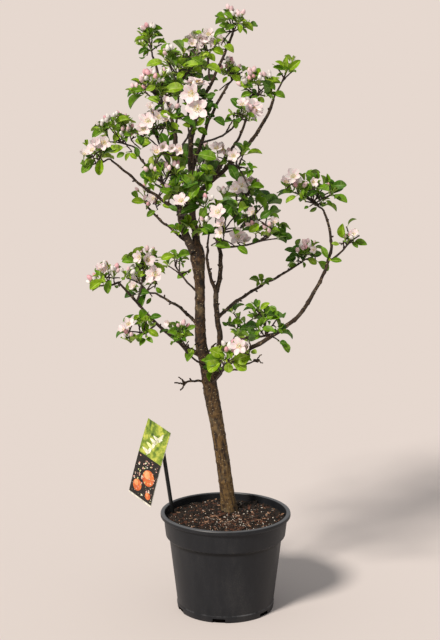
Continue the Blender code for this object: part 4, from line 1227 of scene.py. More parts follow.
MASSES = [  # name, carrier, place on it, centre, radii, shoots, flowers, buds
    Mass("foliage_top", "top_bough", 1.0, (16, 0, 1242), (50, 48, 37), 4, 0, 1, 2.0, 0.5),
    Mass("foliage_top_left", "left_top_bough", 1.0, (-154, 50, 1209), (41, 41, 39), 4, 0, 0, 2.0, 0.6),
    Mass("foliage_top_blossom", "top_bough", 0.62, (-38, 55, 1203), (45, 43, 30), 4, 3, 1, 2.4, 0.5),
    Mass("foliage_upper_front", "left_leader", 0.97, (-92, -60, 1166), (65, 54, 39), 7, 0, 1, 2.4, 0.72),
    Mass("foliage_upper_back", "right_leader", 0.99, (-83, 150, 1140), (63, 56, 48), 6, 2, 1, 2.4, 0.35),
    Mass("foliage_upper_right", "right_inner_bough", 1.0, (18, 72, 1147), (32, 39, 30), 3, 0, 2, 2.4, 0.65),
    Mass("foliage_right_tuft", "right_upper_twin", 1.0, (66, -60, 1116), (43, 41, 39), 4, 0, 2, 2.4, 0.5),
    Mass("foliage_right_tip", "right_upper_arm", 1.0, (124, 20, 1156), (35, 37, 26), 3, 0, 0, 2.2, 0.75),
    Mass("foliage_left_crown", "left_leader", 0.99, (-134, -125, 1115), (60, 50, 41), 7, 0, 4, 2.4, 0.62),
    Mass("foliage_front_blossom", "left_leader", 0.80, (-56, -150, 1086), (39, 37, 48), 5, 3, 0, 2.4, 0.3),
    Mass("foliage_left_blossom", "left_leader", 0.66, (-134, -130, 1029), (45, 43, 39), 5, 2, 2, 2.4, 0.4),
    Mass("foliage_far_left_back", "left_back_arm", 1.0, (-233, 135, 1018), (56, 50, 45), 5, 1, 3, 2.0, 0.6),
    Mass("foliage_far_left", "left_long_arm", 1.0, (-266, -30, 976), (38, 40, 40), 4, 1, 3, 2.0, 0.65),
    Mass("foliage_right_inner", "right_inner_bough", 0.35, (30, -140, 1067),
         (39, 39, 30), 3, 1, 1, 2.4, 0.6),
    Mass("foliage_centre_front", "left_leader", 0.30, (-69, -130, 908), (56, 50, 50), 7, 1, 2, 2.4, 0.5),
    Mass("foliage_centre_left", "left_leader", 0.42, (-126, -125, 951), (48, 45, 48), 6, 2, 2, 2.4, 0.6),
    Mass("foliage_centre_back", "right_leader", 0.62, (-61, 165, 943), (69, 60, 63), 6, 2, 1, 2.4, 0.3),
    Mass("foliage_right_centre", "right_upper_arm", 0.45, (25, -100, 972), (52, 45, 37), 4, 1, 2, 2.4, 0.5),
    Mass("foliage_blossom_front", "second_stem_fork", 0.99, (-2, -130, 856),
         (52, 45, 54), 6, 3, 2, 2.4, 0.45),
    Mass("foliage_blossom_high", "second_stem_fork", 1.0, (40, -20, 905), (48, 43, 37), 5, 1, 2, 2.4, 0.5),
    Mass("foliage_blossom_right", "second_stem_fork", 0.62, (88, -30, 825), (52, 45, 37), 4, 1, 2, 2.4, 0.5),
    Mass("foliage_blossom_back", "second_stem_fork", 0.85, (59, 165, 846), (65, 56, 58), 6, 2, 1, 2.4, 0.3),
    Mass("foliage_riser_top", "right_lower_riser", 1.0, (178, -20, 902), (78, 60, 45), 8, 1, 3, 2.2, 0.45),
    Mass("foliage_riser_side", "right_lower_riser", 0.52, (256, -60, 822), (45, 43, 34), 4, 0, 0, 2.4, 0.6),
    Mass("foliage_right_middle", "right_middle_bough", 1.0, (174, 180, 748),
         (50, 48, 35), 5, 0, 1, 2.4, 0.45),
    Mass("foliage_right_low", "right_front_bough", 1.0, (83, -160, 652), (54, 50, 60), 6, 0, 0, 2.4, 0.4),
    Mass("foliage_right_low_back", "second_stem", 0.38, (37, 165, 603), (54, 50, 41), 4, 1, 1, 2.4, 0.35),
    Mass("foliage_front_low", "trunk", 0.52, (0, -115, 574), (54, 48, 32), 5, 1, 1, 2.4, 0.72),
    Mass("foliage_left_tip", "left_lower_arm", 1.0, (-240, -60, 728), (48, 43, 35), 4, 1, 3, 2.1, 0.65),
    Mass("foliage_left_arm_top", "left_lower_arm", 0.80, (-170, -20, 752), (50, 39, 37), 4, 1, 2, 2.4, 0.65),
    Mass("foliage_left_middle", "left_middle_bough", 1.0, (-180, 150, 687), (50, 48, 48), 4, 2, 0, 2.4, 0.4),
    Mass("foliage_left_inner", "trunk", 0.83, (-108, 75, 748), (39, 39, 28), 3, 0, 0, 2.4, 0.6),
    Mass("foliage_left_low", "left_lower_arm", 0.55, (-175, -110, 634), (48, 43, 35), 4, 1, 1, 2.4, 0.6),
    Mass("foliage_left_low_inner", "trunk", 0.59, (-97, -100, 617), (43, 39, 30), 3, 1, 1, 2.4, 0.5),
    Mass("foliage_left_fork", "left_fork_bough", 1.0, (-166, 42, 883), (37, 37, 26), 3, 0, 2, 2.0, 0.55),
]


SHOWN = {  # what shows of each mass in front, in mm; a leaf is its root, then its tip; a flower has its size
    "foliage_blossom_back": Shown(fill=0.5),
    "foliage_centre_back": Shown(fill=0.7),
    "foliage_top": Shown(
        clusters=[(20, -13, 1266), (33, -15, 1264)],
        leaves=[(13, -5, 1238, -14, -4, 1241), (31, -7, 1245, 56, -6, 1231),
            (3, -16, 1225, -24, -23, 1222), (14, -16, 1252, -4, -14, 1264),
            (31, -20, 1234, 43, -18, 1223), (-6, -14, 1199, 16, -20, 1187),
            (19, -17, 1240, -1, -23, 1231), (25, -17, 1243, 29, -23, 1225)],
        fill=0.5, scale=0.8),
    "foliage_top_left": Shown(
        clusters=[(-166, 40, 1241), (-155, 34, 1240)],
        leaves=[(-163, 42, 1223, -182, 39, 1236), (-158, 40, 1223, -130, 37, 1235),
            (-163, 36, 1213, -189, 39, 1209), (-153, 46, 1206, -122, 40, 1206),
            (-150, 42, 1218, -129, 43, 1220), (-158, 30, 1196, -180, 28, 1185),
            (-155, 32, 1191, -170, 30, 1178), (-160, 35, 1220, -167, 38, 1235),
            (-153, 35, 1213, -143, 29, 1220), (-160, 37, 1206, -168, 32, 1196),
            (-150, 35, 1201, -142, 38, 1194), (-160, 33, 1218, -174, 30, 1226)],
        fill=0.3, slim=0.4),
    "foliage_top_blossom": Shown(
        flowers=[(-53, 30, 1214, 75), (-36, 28, 1221, 70), (-69, 34, 1203, 60), (-42, 28, 1203, 70),
            (-18, 32, 1206, 75), (-5, 33, 1209, 70), (-58, 27, 1192, 65)],
        leaves=[(-72, 35, 1205, -93, 34, 1209),
            (-28, 27, 1192, -4, 20, 1182), (-33, 26, 1188, -51, 21, 1176),
            (-24, 26, 1198, -8, 24, 1212), (-41, 35, 1182, -22, 33, 1170),
            (-47, 31, 1192, -61, 28, 1200)],
        fill=0.9),
    "foliage_upper_front": Shown(
        clusters=[(-119, -86, 1192)],
        leaves=[(-124, -81, 1169, -157, -92, 1160), (-70, -80, 1176, -45, -80, 1164),
            (-42, -68, 1157, -10, -76, 1148), (-97, -77, 1175, -79, -79, 1160),
            (-115, -78, 1184, -127, -81, 1189), (-79, -74, 1148, -97, -83, 1133),
            (-100, -79, 1187, -97, -77, 1195), (-67, -79, 1151, -48, -78, 1145)],
        fill=0.56),
    "foliage_upper_right": Shown(
        clusters=[(10, 57, 1174), (-10, 65, 1161)],
        leaves=[(7, 58, 1147, 29, 59, 1154), (10, 59, 1141, 31, 60, 1128), (4, 58, 1138, -6, 57, 1125),
            (-15, 64, 1109, -25, 65, 1106)],
        fill=0.65),
    "foliage_right_tuft": Shown(
        clusters=[(38, -78, 1137), (49, -71, 1148), (64, -78, 1142), (82, -74, 1145)],
        leaves=[(92, -72, 1103, 118, -75, 1098), (55, -76, 1121, 34, -84, 1118),
            (76, -73, 1121, 98, -71, 1112), (58, -73, 1094, 77, -71, 1089),
            (82, -73, 1133, 104, -78, 1131), (52, -73, 1115, 60, -78, 1103),
            (52, -76, 1106, 30, -78, 1099), (66, -77, 1101, 50, -79, 1085),
            (76, -73, 1108, 90, -80, 1097), (50, -73, 1101, 40, -74, 1087)],
        fill=0.45),
    "foliage_right_tip": Shown(
        leaves=[(123, 15, 1147, 123, 9, 1178), (126, 8, 1149, 152, 2, 1171),
            (121, 8, 1151, 96, 5, 1157), (120, 7, 1154, 101, 8, 1169), (127, 13, 1147, 144, 12, 1150),
            (118, 15, 1144, 104, 9, 1140)],
        fill=0.2, scale=0.8, slim=0.42),
    "foliage_left_crown": Shown(
        flowers=[(-120, -156, 1090, 55), (-147, -151, 1079, 50)],
        clusters=[(-158, -134, 1139), (-142, -150, 1145), (-129, -143, 1133), (-172, -145, 1122)],
        leaves=[(-162, -146, 1105, -188, -145, 1078), (-161, -133, 1108, -185, -136, 1109),
            (-123, -132, 1110, -83, -141, 1119), (-137, -142, 1122, -155, -148, 1113),
            (-143, -150, 1098, -128, -152, 1095),
            (-158, -146, 1113, -185, -150, 1110), (-154, -149, 1098, -132, -156, 1089)],
        fill=0.6),
    "foliage_front_blossom": Shown(
        flowers=[(-65, -169, 1107, 98), (-55, -174, 1078, 106)],
        leaves=[(-89, -154, 1057, -60, -152, 1045), (-39, -162, 1099, -21, -162, 1107),
            (-27, -158, 1059, -3, -161, 1046), (-89, -160, 1081, -95, -164, 1066),
            (-36, -160, 1084, -15, -159, 1078),
            (-82, -156, 1056, -61, -158, 1041)],
        fill=0.7),
    "foliage_left_blossom": Shown(
        flowers=[(-152, -152, 1053, 85), (-161, -156, 1037, 72), (-131, -151, 1059, 75),
            (-117, -157, 1053, 65)],
        clusters=[(-107, -145, 1083)],
        leaves=[(-129, -143, 1032, -114, -152, 1004), (-176, -145, 1027, -165, -145, 1006),
            (-113, -146, 1063, -95, -153, 1057),
            (-129, -148, 1071, -107, -156, 1062), (-105, -150, 1064, -80, -155, 1064),
            (-140, -147, 1073, -126, -153, 1085), (-109, -148, 1052, -94, -153, 1037)],
        fill=0.8),
    "foliage_far_left_back": Shown(
        clusters=[(-238, 108, 1059), (-253, 112, 1052), (-266, 108, 1041), (-202, 124, 1034),
            (-218, 119, 1025)],
        leaves=[(-256, 121, 1024, -286, 119, 1008), (-220, 125, 1021, -242, 127, 1001),
            (-235, 120, 1041, -205, 112, 1049), (-218, 126, 988, -254, 124, 979),
            (-196, 118, 1002, -162, 108, 999), (-203, 118, 976, -215, 112, 961),
            (-194, 116, 991, -188, 111, 968), (-179, 120, 986, -160, 115, 999),
            (-200, 112, 1012, -219, 112, 1014), (-190, 120, 1012, -179, 117, 1023),
            (-205, 113, 976, -190, 105, 964), (-216, 117, 976, -233, 111, 968)],
        fill=0.65),
    "foliage_far_left": Shown(
        flowers=[(-263, -52, 1000, 75), (-246, -53, 1007, 78), (-269, -54, 991, 65),
            (-287, -52, 982, 55)],
        leaves=[(-266, -36, 973, -295, -37, 945), (-253, -49, 975, -258, -50, 941)],
        fill=0.3),
    "foliage_centre_left": Shown(
        flowers=[(-136, -151, 992, 75), (-124, -153, 1004, 68), (-106, -151, 1002, 60),
            (-88, -152, 999, 62)],
        clusters=[(-114, -148, 965), (-98, -142, 971), (-148, -137, 961)],
        leaves=[(-99, -139, 988, -78, -145, 977), (-139, -134, 946, -151, -134, 932),
            (-96, -135, 946, -72, -141, 927)],
        fill=0.7),
    "foliage_right_inner": Shown(
        flowers=[(32, -163, 1084, 65)],
        clusters=[(45, -148, 1075)],
        leaves=[(15, -147, 1060, 20, -146, 1039), (30, -154, 1075, 10, -156, 1098),
            (39, -155, 1069, 55, -157, 1062)],
        fill=0.5),
    "foliage_centre_front": Shown(
        flowers=[(-87, -161, 898, 78)],
        clusters=[(-38, -139, 905)],
        leaves=[(-57, -136, 988, -19, -139, 982), (-51, -141, 930, -75, -150, 900),
            (-91, -140, 872, -54, -144, 888), (-51, -143, 968, -36, -148, 959),
            (-51, -136, 884, -39, -145, 864), (-109, -141, 912, -129, -151, 921),
            (-114, -155, 889, -96, -160, 880),
            (-52, -143, 864, -40, -150, 886), (-46, -146, 848, -24, -152, 837)],
        fill=0.85),
    "foliage_right_centre": Shown(
        flowers=[(-18, -128, 998, 70), (-5, -123, 998, 68), (15, -124, 984, 62)],
        clusters=[(6, -115, 993)],
        leaves=[(3, -110, 968, 22, -111, 938), (-24, -119, 957, -42, -125, 963),
            (49, -118, 923, 75, -122, 922)],
        fill=0.41),
    "foliage_blossom_front": Shown(
        flowers=[(-16, -155, 875, 82), (-6, -157, 851, 74), (-9, -155, 836, 62)],
        clusters=[(-39, -143, 866)],
        leaves=[(-51, -148, 843, -36, -155, 833), (-24, -147, 809, 9, -148, 806),
            (-21, -149, 825, -6, -151, 819), (21, -136, 805, 43, -140, 793)],
        fill=0.65),
    "foliage_blossom_high": Shown(
        flowers=[(32, -43, 918, 80), (21, -47, 911, 68), (58, -48, 863, 72)],
        clusters=[(-3, -35, 911)],
        leaves=[(57, -37, 893, 80, -42, 873), (57, -27, 911, 76, -30, 916),
            (26, -34, 883, 48, -36, 874), (7, -35, 861, 32, -39, 857)],
        fill=0.45),
    "foliage_blossom_right": Shown(
        flowers=[(24, -57, 817, 84), (38, -58, 805, 72), (98, -51, 842, 66)],
        clusters=[(85, -53, 838)],
        leaves=[(92, -41, 821, 124, -48, 823), (69, -49, 853, 91, -54, 869),
            (88, -43, 856, 110, -41, 854), (69, -51, 841, 47, -55, 826), (69, -52, 810, 54, -60, 804)],
        fill=0.45),
    "foliage_riser_top": Shown(
        flowers=[(137, -52, 937, 80), (122, -50, 925, 68), (176, -54, 927, 52)],
        clusters=[(151, -42, 925)],
        leaves=[(216, -39, 918, 245, -51, 922), (220, -42, 898, 247, -53, 886),
            (138, -41, 906, 115, -46, 906), (144, -45, 899, 122, -56, 886),
            (201, -37, 923, 206, -42, 944), (178, -47, 933, 163, -56, 946),
            (182, -35, 932, 188, -45, 947), (185, -41, 908, 166, -44, 898),
            (171, -29, 875, 161, -33, 871), (205, -31, 888, 217, -38, 878)],
        fill=0.6, scale=0.85),
    "foliage_riser_side": Shown(
        flowers=[(259, -82, 823, 60)],
        clusters=[(250, -80, 823)],
        leaves=[(240, -77, 814, 236, -80, 846), (260, -66, 805, 286, -75, 804),
            (231, -74, 802, 215, -73, 805), (256, -69, 807, 268, -76, 796),
            (256, -72, 826, 269, -72, 831)],
        fill=0.25),
    "foliage_right_middle": Shown(
        flowers=[(195, 149, 762, 46)],
        clusters=[(175, 158, 771), (167, 156, 766)],
        leaves=[(159, 159, 757, 130, 161, 762), (185, 169, 747, 213, 169, 752),
            (157, 169, 744, 133, 160, 737), (181, 170, 740, 202, 166, 729),
            (171, 173, 733, 175, 169, 720), (203, 159, 736, 228, 156, 716),
            (157, 159, 731, 140, 155, 723)],
        fill=0.45),
    "foliage_right_low": Shown(
        leaves=[(79, -175, 669, 112, -182, 677), (55, -176, 688, 38, -178, 695),
            (59, -176, 690, 59, -177, 708), (67, -175, 685, 85, -177, 700),
            (54, -185, 671, 42, -190, 678), (64, -171, 656, 49, -179, 652),
            (108, -182, 621, 126, -183, 601), (106, -179, 622, 121, -188, 618),
            (67, -181, 637, 57, -190, 629), (76, -173, 678, 97, -179, 688),
            (70, -169, 650, 88, -169, 641)],
        fill=0.7, scale=0.72),
    "foliage_right_low_back": Shown(
        leaves=[(12, 149, 597, 39, 144, 600), (8, 141, 602, 10, 137, 617), (5, 147, 594, -7, 144, 602),
            (29, 142, 588, 56, 134, 590)],
        fill=0.7, scale=0.85),
    "foliage_front_low": Shown(
        flowers=[(28, -146, 606, 84), (43, -140, 601, 76)],
        clusters=[(7, -137, 601)],
        leaves=[(-10, -123, 574, -44, -126, 572), (-10, -131, 570, -37, -130, 552),
            (-6, -133, 583, -32, -139, 598), (13, -128, 573, 49, -128, 585),
            (13, -130, 569, 42, -136, 556), (19, -122, 603, 19, -127, 615),
            (50, -129, 592, 62, -138, 591), (3, -133, 571, 7, -135, 549)],
        fill=0.52, slim=0.8),
    "foliage_left_tip": Shown(
        flowers=[(-255, -82, 749, 74), (-239, -80, 756, 70)],
        clusters=[(-224, -75, 753)],
        leaves=[(-248, -79, 730, -277, -86, 712), (-233, -81, 732, -243, -85, 703),
            (-215, -71, 733, -206, -74, 731)],
        fill=0.38),
    "foliage_left_arm_top": Shown(
        flowers=[(-176, -38, 771, 72), (-163, -44, 767, 76), (-145, -38, 735, 92), (-150, -38, 722, 74)],
        clusters=[(-201, -41, 748)],
        leaves=[(-186, -31, 759, -215, -31, 764), (-154, -33, 759, -126, -31, 742),
            (-135, -34, 766, -107, -38, 776), (-183, -36, 744, -202, -37, 735),
            (-164, -28, 740, -183, -34, 731)],
        fill=0.8),
    "foliage_left_middle": Shown(
        flowers=[(-198, 123, 685, 66)],
        leaves=[(-173, 127, 669, -185, 124, 636), (-153, 135, 682, -140, 133, 669),
            (-163, 132, 659, -173, 126, 646)],
        fill=0.55),
    "foliage_left_inner": Shown(
        leaves=[(-103, 59, 757, -72, 54, 767), (-81, 62, 726, -104, 62, 713),
            (-81, 67, 722, -74, 67, 732), (-117, 67, 759, -120, 63, 771),
            (-115, 58, 757, -132, 52, 754)],
        fill=0.75, scale=0.8),
    "foliage_left_low": Shown(
        flowers=[(-195, -136, 648, 68), (-204, -131, 635, 62)],
        clusters=[(-198, -132, 630)],
        leaves=[(-185, -125, 654, -175, -124, 666), (-160, -123, 636, -136, -125, 623),
            (-166, -130, 630, -179, -128, 612), (-154, -119, 659, -131, -122, 664),
            (-160, -130, 655, -159, -135, 668)],
        fill=0.6),
    "foliage_left_low_inner": Shown(
        flowers=[(-114, -121, 649, 50)],
        clusters=[(-88, -120, 648)],
        leaves=[(-80, -119, 634, -62, -118, 643), (-102, -105, 638, -118, -109, 626),
            (-93, -118, 625, -105, -126, 616), (-87, -108, 619, -68, -107, 622),
            (-64, -104, 585, -80, -105, 566)],
        fill=0.7),
    "foliage_left_fork": Shown(
        flowers=[(-150, 24, 887, 58)],
        clusters=[(-160, 36, 883)],
        leaves=[(-169, 29, 879, -197, 23, 881), (-134, 30, 906, -127, 29, 919),
            (-147, 37, 860, -166, 32, 849), (-134, 35, 873, -115, 29, 867)],
        fill=0.45),
}
SCENE_BOUGHS = [  # thin limbs that only the looks have
    Bough("thin_fork", "second_stem", 0.97, (-32, -58, 830), (3.9, 1.6), (-12, 3)),
    Bough("low_spur", "second_stem", 0.20, (66, -104, 570), (2.3, 1.5), (2, -10), (-8, 4)),
    Bough("spur_prong", "bare_spur", 0.9, (-109, 0, 498), (1.9, 1.3), (0, -2), points=4),
    Bough("spur_prong_low", "bare_spur", 0.86, (-96, -4, 482), (1.7, 1.2), (-2, -2), points=4),
    Bough("spur_prong_high", "bare_spur", 0.96, (-101, 8, 508), (1.6, 1.1), (2, 1), points=4),
    Bough("low_spur_prong", "low_spur", 0.9, (73, -108, 581), (1.5, 1.0), points=4),
    Bough("low_spur_end", "low_spur", 0.96, (76, -106, 563), (1.5, 1.0), points=4),
    Bough("inner_twig", "trunk", 0.60, (-20, -14, 586), (2.2, 1.4), (2, 5), points=4),
]
TRUNK_LEAVES = [(-68, -8, 577, -84, -14, 553)]
SPRIGS = [  # bough, place on it, leaves, reach and lean to the camera: small rosettes on bare wood
    ("right_middle_bough", 0.55, 5, 1, 0.5), ("left_fork_bough", 0.35, 6, 16, 0.5),
    ("left_fork_bough", 0.28, 4, 14, 0.2), ("left_long_arm", 0.30, 5, 14, 0.3),
    ("right_lower_arm", 0.34, 5, 12, 0.5), ("right_lower_arm", 0.42, 4, 10, -0.6),
    ("second_stem", 0.3, 4, 12, 0.4), ("second_stem", 0.2, 4, 14, 0.9),
    ("thin_fork", 0.97, 6, 8, 0.2), ("left_lower_arm", 0.35, 5, 12, 0.4),
    ("right_front_bough", 0.45, 5, 10, -0.4), ("left_leader", 0.2, 5, 14, 0.7),
    ("right_leader", 0.3, 5, 14, 0.2), ("top_bough", 0.25, 5, 13, 0.5),
    ("right_upper_arm", 0.2, 5, 13, 0.6), ("right_inner_bough", 0.6, 5, 12, 0.6),
    ("left_top_bough", 0.45, 5, 12, 0.3), ("left_back_arm", 0.5, 5, 12, 0.3),
    ("right_lower_riser", 0.5, 3, 8, 0.6),
]


@dataclass
class Limb:
    """A limb as the source has it, which twigs read to find their place, and its finer bark path."""

    points: Array
    radii: Array
    heart: Array
    girth: Array

    def place(self, fraction: float) -> tuple[Array, Array, float]:
        """Reads the source's limb at a fraction of its length.

        Args:
            fraction: from 0 at its root to 1 at its tip.

        Returns:
            The point, direction and radius there.
        """
        steps = np.linalg.norm(np.diff(self.points, axis=0), axis=1)
        along = np.concatenate([[0], np.cumsum(steps)])
        goal = fraction * along[-1]
        index = int(min(np.searchsorted(along[1:-1], goal), len(steps) - 1))
        share = (goal - along[index]) / steps[index]
        point = self.points[index] + share * (self.points[index + 1] - self.points[index])
        way = unit(self.points[index + 1] - self.points[index])
        return point, way, float(self.radii[index] + share * (self.radii[index + 1] - self.radii[index]))

    def heart_near(self, point: Array) -> Array:
        """The point of the bark's own path that lies nearest to a point."""
        return self.heart[np.linalg.norm(self.heart - point, axis=1).argmin()]


def smooth_along(values: Array, fraction: Array) -> Array:
    """Values on a smooth Catmull-Rom curve through equally spaced rows, at fractions from 0 to 1.

    Between rows b and c, with a before and d after, the value is half of 2b + (c-a)t +
    (2a-5b+4c-d)t² + (3b-a-3c+d)t³.

    Args:
        values: the rows that the curve goes through.
        fraction: where to read it.

    Returns:
        One row for each fraction.
    """
    last = len(values) - 1
    place = np.clip(fraction, 0, 1) * last
    index = np.minimum(place.astype(int), last - 1)
    t = (place - index)[:, None]
    a, b = values[np.maximum(index - 1, 0)], values[index]
    c, d = values[index + 1], values[np.minimum(index + 2, last)]
    square, cube = 2 * a - 5 * b + 4 * c - d, 3 * b - a - 3 * c + d
    return 0.5 * (2 * b + (c - a) * t + square * t ** 2 + cube * t ** 3)


@dataclass
class Framework:
    """The trunk and boughs: the source's paths, with bark ridges, collars, knots and spurs."""

    trunk_rings: int = 18
    trunk_sides: int = 96
    trunk_foot: float = 195 * MM
    trunk_dome: float = 26 * MM
    ring_step: float = 1.4 * MM
    level: float = 206.3 * MM
    flare: float = 4 * MM
    flare_height: float = 16 * MM
    tip_sink: float = 0.6
    wander: float = 2.0 * MM
    bough_sides: int = 20
    bough_step: float = 1.8 * MM
    ridge_sizes: tuple[float, float] = (5.5 * MM, 2.6 * MM)
    ridge_height: float = 0.42 * MM
    scale_size: float = 1.7 * MM
    fold_size: float = 3.2 * MM
    scale_height: float = 0.16 * MM
    stretch: float = 0.68
    full_girth: float = 14 * MM
    knot_gap: tuple[float, float] = (17 * MM, 30 * MM)
    knot_reach: float = 3.4 * MM
    collar: float = 0.35
    collar_reach: float = 9 * MM
    trunk_spur_gap: float = 52 * MM
    bough_spur_gap: float = 30 * MM
    limbs: dict[str, Limb] = field(default_factory=dict)

    def trunk(self) -> Limb:
        """The trunk's limb: a smooth curve through its stations, flared by a falling exponential.

        The bark's top is rounded off as a quarter circle over the dome's height.

        Returns:
            The limb.
        """
        rows = np.array(TRUNK_STATIONS, float) * MM

        def flared(values: Array) -> Array:
            """Adds the root flare.

            Args:
                values: x, y, z and radius, one row each.

            Returns:
                The rows with the flare in their radius.
            """
            rise = np.maximum(values[:, 2] - self.level, 0)
            values[:, 3] += self.flare * np.exp(-rise / self.flare_height)
            return values

        coarse = flared(smooth_along(rows, np.linspace(0, 1, self.trunk_rings)))
        count = int((rows[-1, 2] - rows[0, 2]) / self.ring_step)
        fine = flared(smooth_along(rows, np.linspace(0, 1, count)))
        fine = fine[fine[:, 2] > self.trunk_foot]
        left = np.clip((fine[-1, 2] - fine[:, 2]) / self.trunk_dome, 0, 1)
        fine[:, 3] *= np.sqrt(1 - (1 - left) ** 2) * 0.98 + 0.02
        return Limb(coarse[:, :3], coarse[:, 3], fine[:, :3], fine[:, 3])

    def bough(self, bough: Bough) -> Limb:
        """A bough's limb: a straight run + 4t(1-t) bow + 4t(1-t)(2t-1) sway.

        The bark's path wanders from it by a sum of three sines that is nil at both ends.

        Args:
            bough: its row of the table.

        Returns:
            The limb.
        """
        parent = self.limbs[bough.parent]
        start, way, radius = parent.place(bough.at)
        heart = parent.heart_near(start)
        shift = np.array(FORK_OFFSETS.get(bough.name, (0, 0, 0))) * MM
        shift = shift - (way * radius * self.tip_sink if bough.at == 1.0 else 0)
        tip = np.array(bough.tip) * MM
        bow, sway = (np.array([value[0], 0, value[1]]) * MM for value in (bough.bow, bough.sway))

        def path(first: Array, t: Array) -> Array:
            """Points along the limb.

            Args:
                first: the point that it starts from.
                t: shares of the way to its tip.

            Returns:
                One point for each share.
            """
            arch = 4 * t * (1 - t)
            return first + (tip - first) * t + arch * bow + arch * (2 * t - 1) * sway

        t = np.linspace(0, 1, bough.points)[:, None]
        coarse = path(start + shift, t)
        count = int(np.linalg.norm(tip - start) / self.bough_step)
        fine_t = np.linspace(0, 1, count)[:, None]
        dice = np.random.default_rng(len(bough.name) * 7 + len(self.limbs))
        waves = sum(np.sin(math.tau * (turns * fine_t + dice.uniform(0, 1, 3))) / turns ** 0.5
                    for turns in (1.3, 2.9, 5.2))
        fine = path(heart + shift, fine_t) + self.wander * 4 * fine_t * (1 - fine_t) * waves * 0.6
        radii = np.array(bough.radii) * MM
        return Limb(coarse, radii[0] + (radii[1] - radii[0]) * t[:, 0], fine,
                    radii[0] + (radii[1] - radii[0]) * fine_t[:, 0])

    def bark(self, limb: Limb, sides: int, seed: int, collar: float) -> tuple[Shape, Array]:
        """A limb's bark: a tube whose wall stands out by ridges, scales, knots and a root collar.

        The relief is a ridged noise stretched along the limb (1 - |noise|), a scaly noise, and
        knots that are bell curves along and round the limb.

        Args:
            limb: the limb.
            sides: points round it.
            seed: for its knots.
            collar: how much wider it is at its root, as a share of its radius.

        Returns:
            The shape, and the relief of each point from -1 to 1.
        """
        shape = tubes(limb.heart[None], limb.girth[None], sides)
        count = len(limb.heart)
        ring = shape.verts[:count * sides]
        centres = np.repeat(limb.heart, sides, axis=0)
        girth = np.repeat(limb.girth, sides)
        outward = unit(ring - centres)
        along = np.concatenate([[0], np.cumsum(np.linalg.norm(np.diff(limb.heart, axis=0), axis=1))])
        way = np.repeat(unit(np.gradient(limb.heart, axis=0)), sides, axis=0)
        squeezed = ring - way * np.sum(ring * way, axis=1, keepdims=True) * self.stretch
        scale = np.clip(girth / self.full_girth, 0.3, 1)
        wide, narrow = (noise(squeezed, size, seed + step) for step, size in enumerate(self.ridge_sizes))
        ridges = 1 - 2 * np.abs(wide) - np.abs(narrow)
        scales = noise(ring, self.scale_size, seed + 2)
        folds = noise(ring * [0.4, 0.4, 1], self.fold_size, seed + 3)
        dice = np.random.default_rng(seed)
        places = np.cumsum(dice.uniform(*self.knot_gap, 60))
        places = places[places < along[-1]]
        bumps = np.zeros(len(ring))
        run = np.repeat(along, sides)
        for place in places:
            facing = unit(dice.normal(0, 1, 3))
            bell = np.exp(-((run - place) / self.knot_reach) ** 2)
            bumps += bell * (0.12 + 0.3 * np.clip(outward @ facing, 0, 1) ** 2)
        height = scale * (self.ridge_height * ridges + self.scale_height * (scales + folds))
        swell = collar * np.exp(-run / self.collar_reach)
        height += girth * (bumps * np.clip(4 * MM / girth, 0.3, 1) + swell)
        shape.verts[:count * sides] += outward * height[:, None]
        relief = np.clip(0.55 * ridges + 0.3 * scales + 0.25 * folds + 0.5 * bumps, -1, 1)
        return shape, np.concatenate([relief, [0, 0]])

    def spurs(self) -> list[Array]:
        """Short bare spurs on the limbs: each leaves its limb and bends a little to one side.

        Returns:
            Their paths, of five points each.
        """
        dice = np.random.default_rng(23)
        paths = []
        for name, limb in self.limbs.items():
            length = float(np.linalg.norm(np.diff(limb.points, axis=0), axis=1).sum())
            step = self.trunk_spur_gap if name == "trunk" else self.bough_spur_gap
            for fraction in np.arange(0.14, 0.93, step / length):
                point, way, radius = limb.place(float(np.clip(fraction + dice.uniform(-0.03, 0.03), 0, 1)))
                side = unit(np.cross(way, dice.normal(0, 1, 3)))
                run = unit(side + way * dice.uniform(0.2, 0.9) + UP * 0.25)
                reach = radius + dice.uniform(2.5, 8) * MM
                heart = limb.heart_near(point)
                bend = side * dice.uniform(-0.2, 0.2) * reach
                t = np.linspace(0, 1, 5)[:, None]
                paths.append(heart + run * reach * t + bend * t * t)
        return paths

    def build(self, crown: "Crown") -> None:
        """Works out the limbs, makes their bark, and gives their spurs to the crown.

        Args:
            crown: the crown, which makes the spurs with its own wood.
        """
        self.limbs["trunk"] = self.trunk()
        for bough in BOUGHS + SCENE_BOUGHS:
            self.limbs[bough.name] = self.bough(bough)
        # Bark of a young apple trunk: ochre and olive near the ground, dark and scaly above
        trunk_bark = Bark("apple_trunk_bark", "#120b05", "#322214", "#5c4226", "#6c532e", "#8c7b5c",
                          0.34, 0.6)
        shape, relief = self.bark(self.limbs["trunk"], self.trunk_sides, 101, 0.0)
        make_piece("trunk_bark", shape, [trunk_bark.material()], ("trunk",), relief)
        # Bark of younger limbs: smoother, dark brown, with a grey bloom
        bough_bark = Bark("apple_bough_bark", "#0f0a06", "#2b1d11", "#4b3823", "#4b3823", "#63574a",
                          0.3, 0.62, 4 * MM)
        parts = [self.bark(self.limbs[bough.name], self.bough_sides, 200 + index, self.collar)
                 for index, bough in enumerate(BOUGHS + SCENE_BOUGHS)]
        names = tuple(bough.name for bough in BOUGHS)
        make_piece("bough_bark", joined([part for part, _ in parts]), [bough_bark.material()], names,
                   np.concatenate([height for _, height in parts]))
        crown.spur_paths = self.spurs()


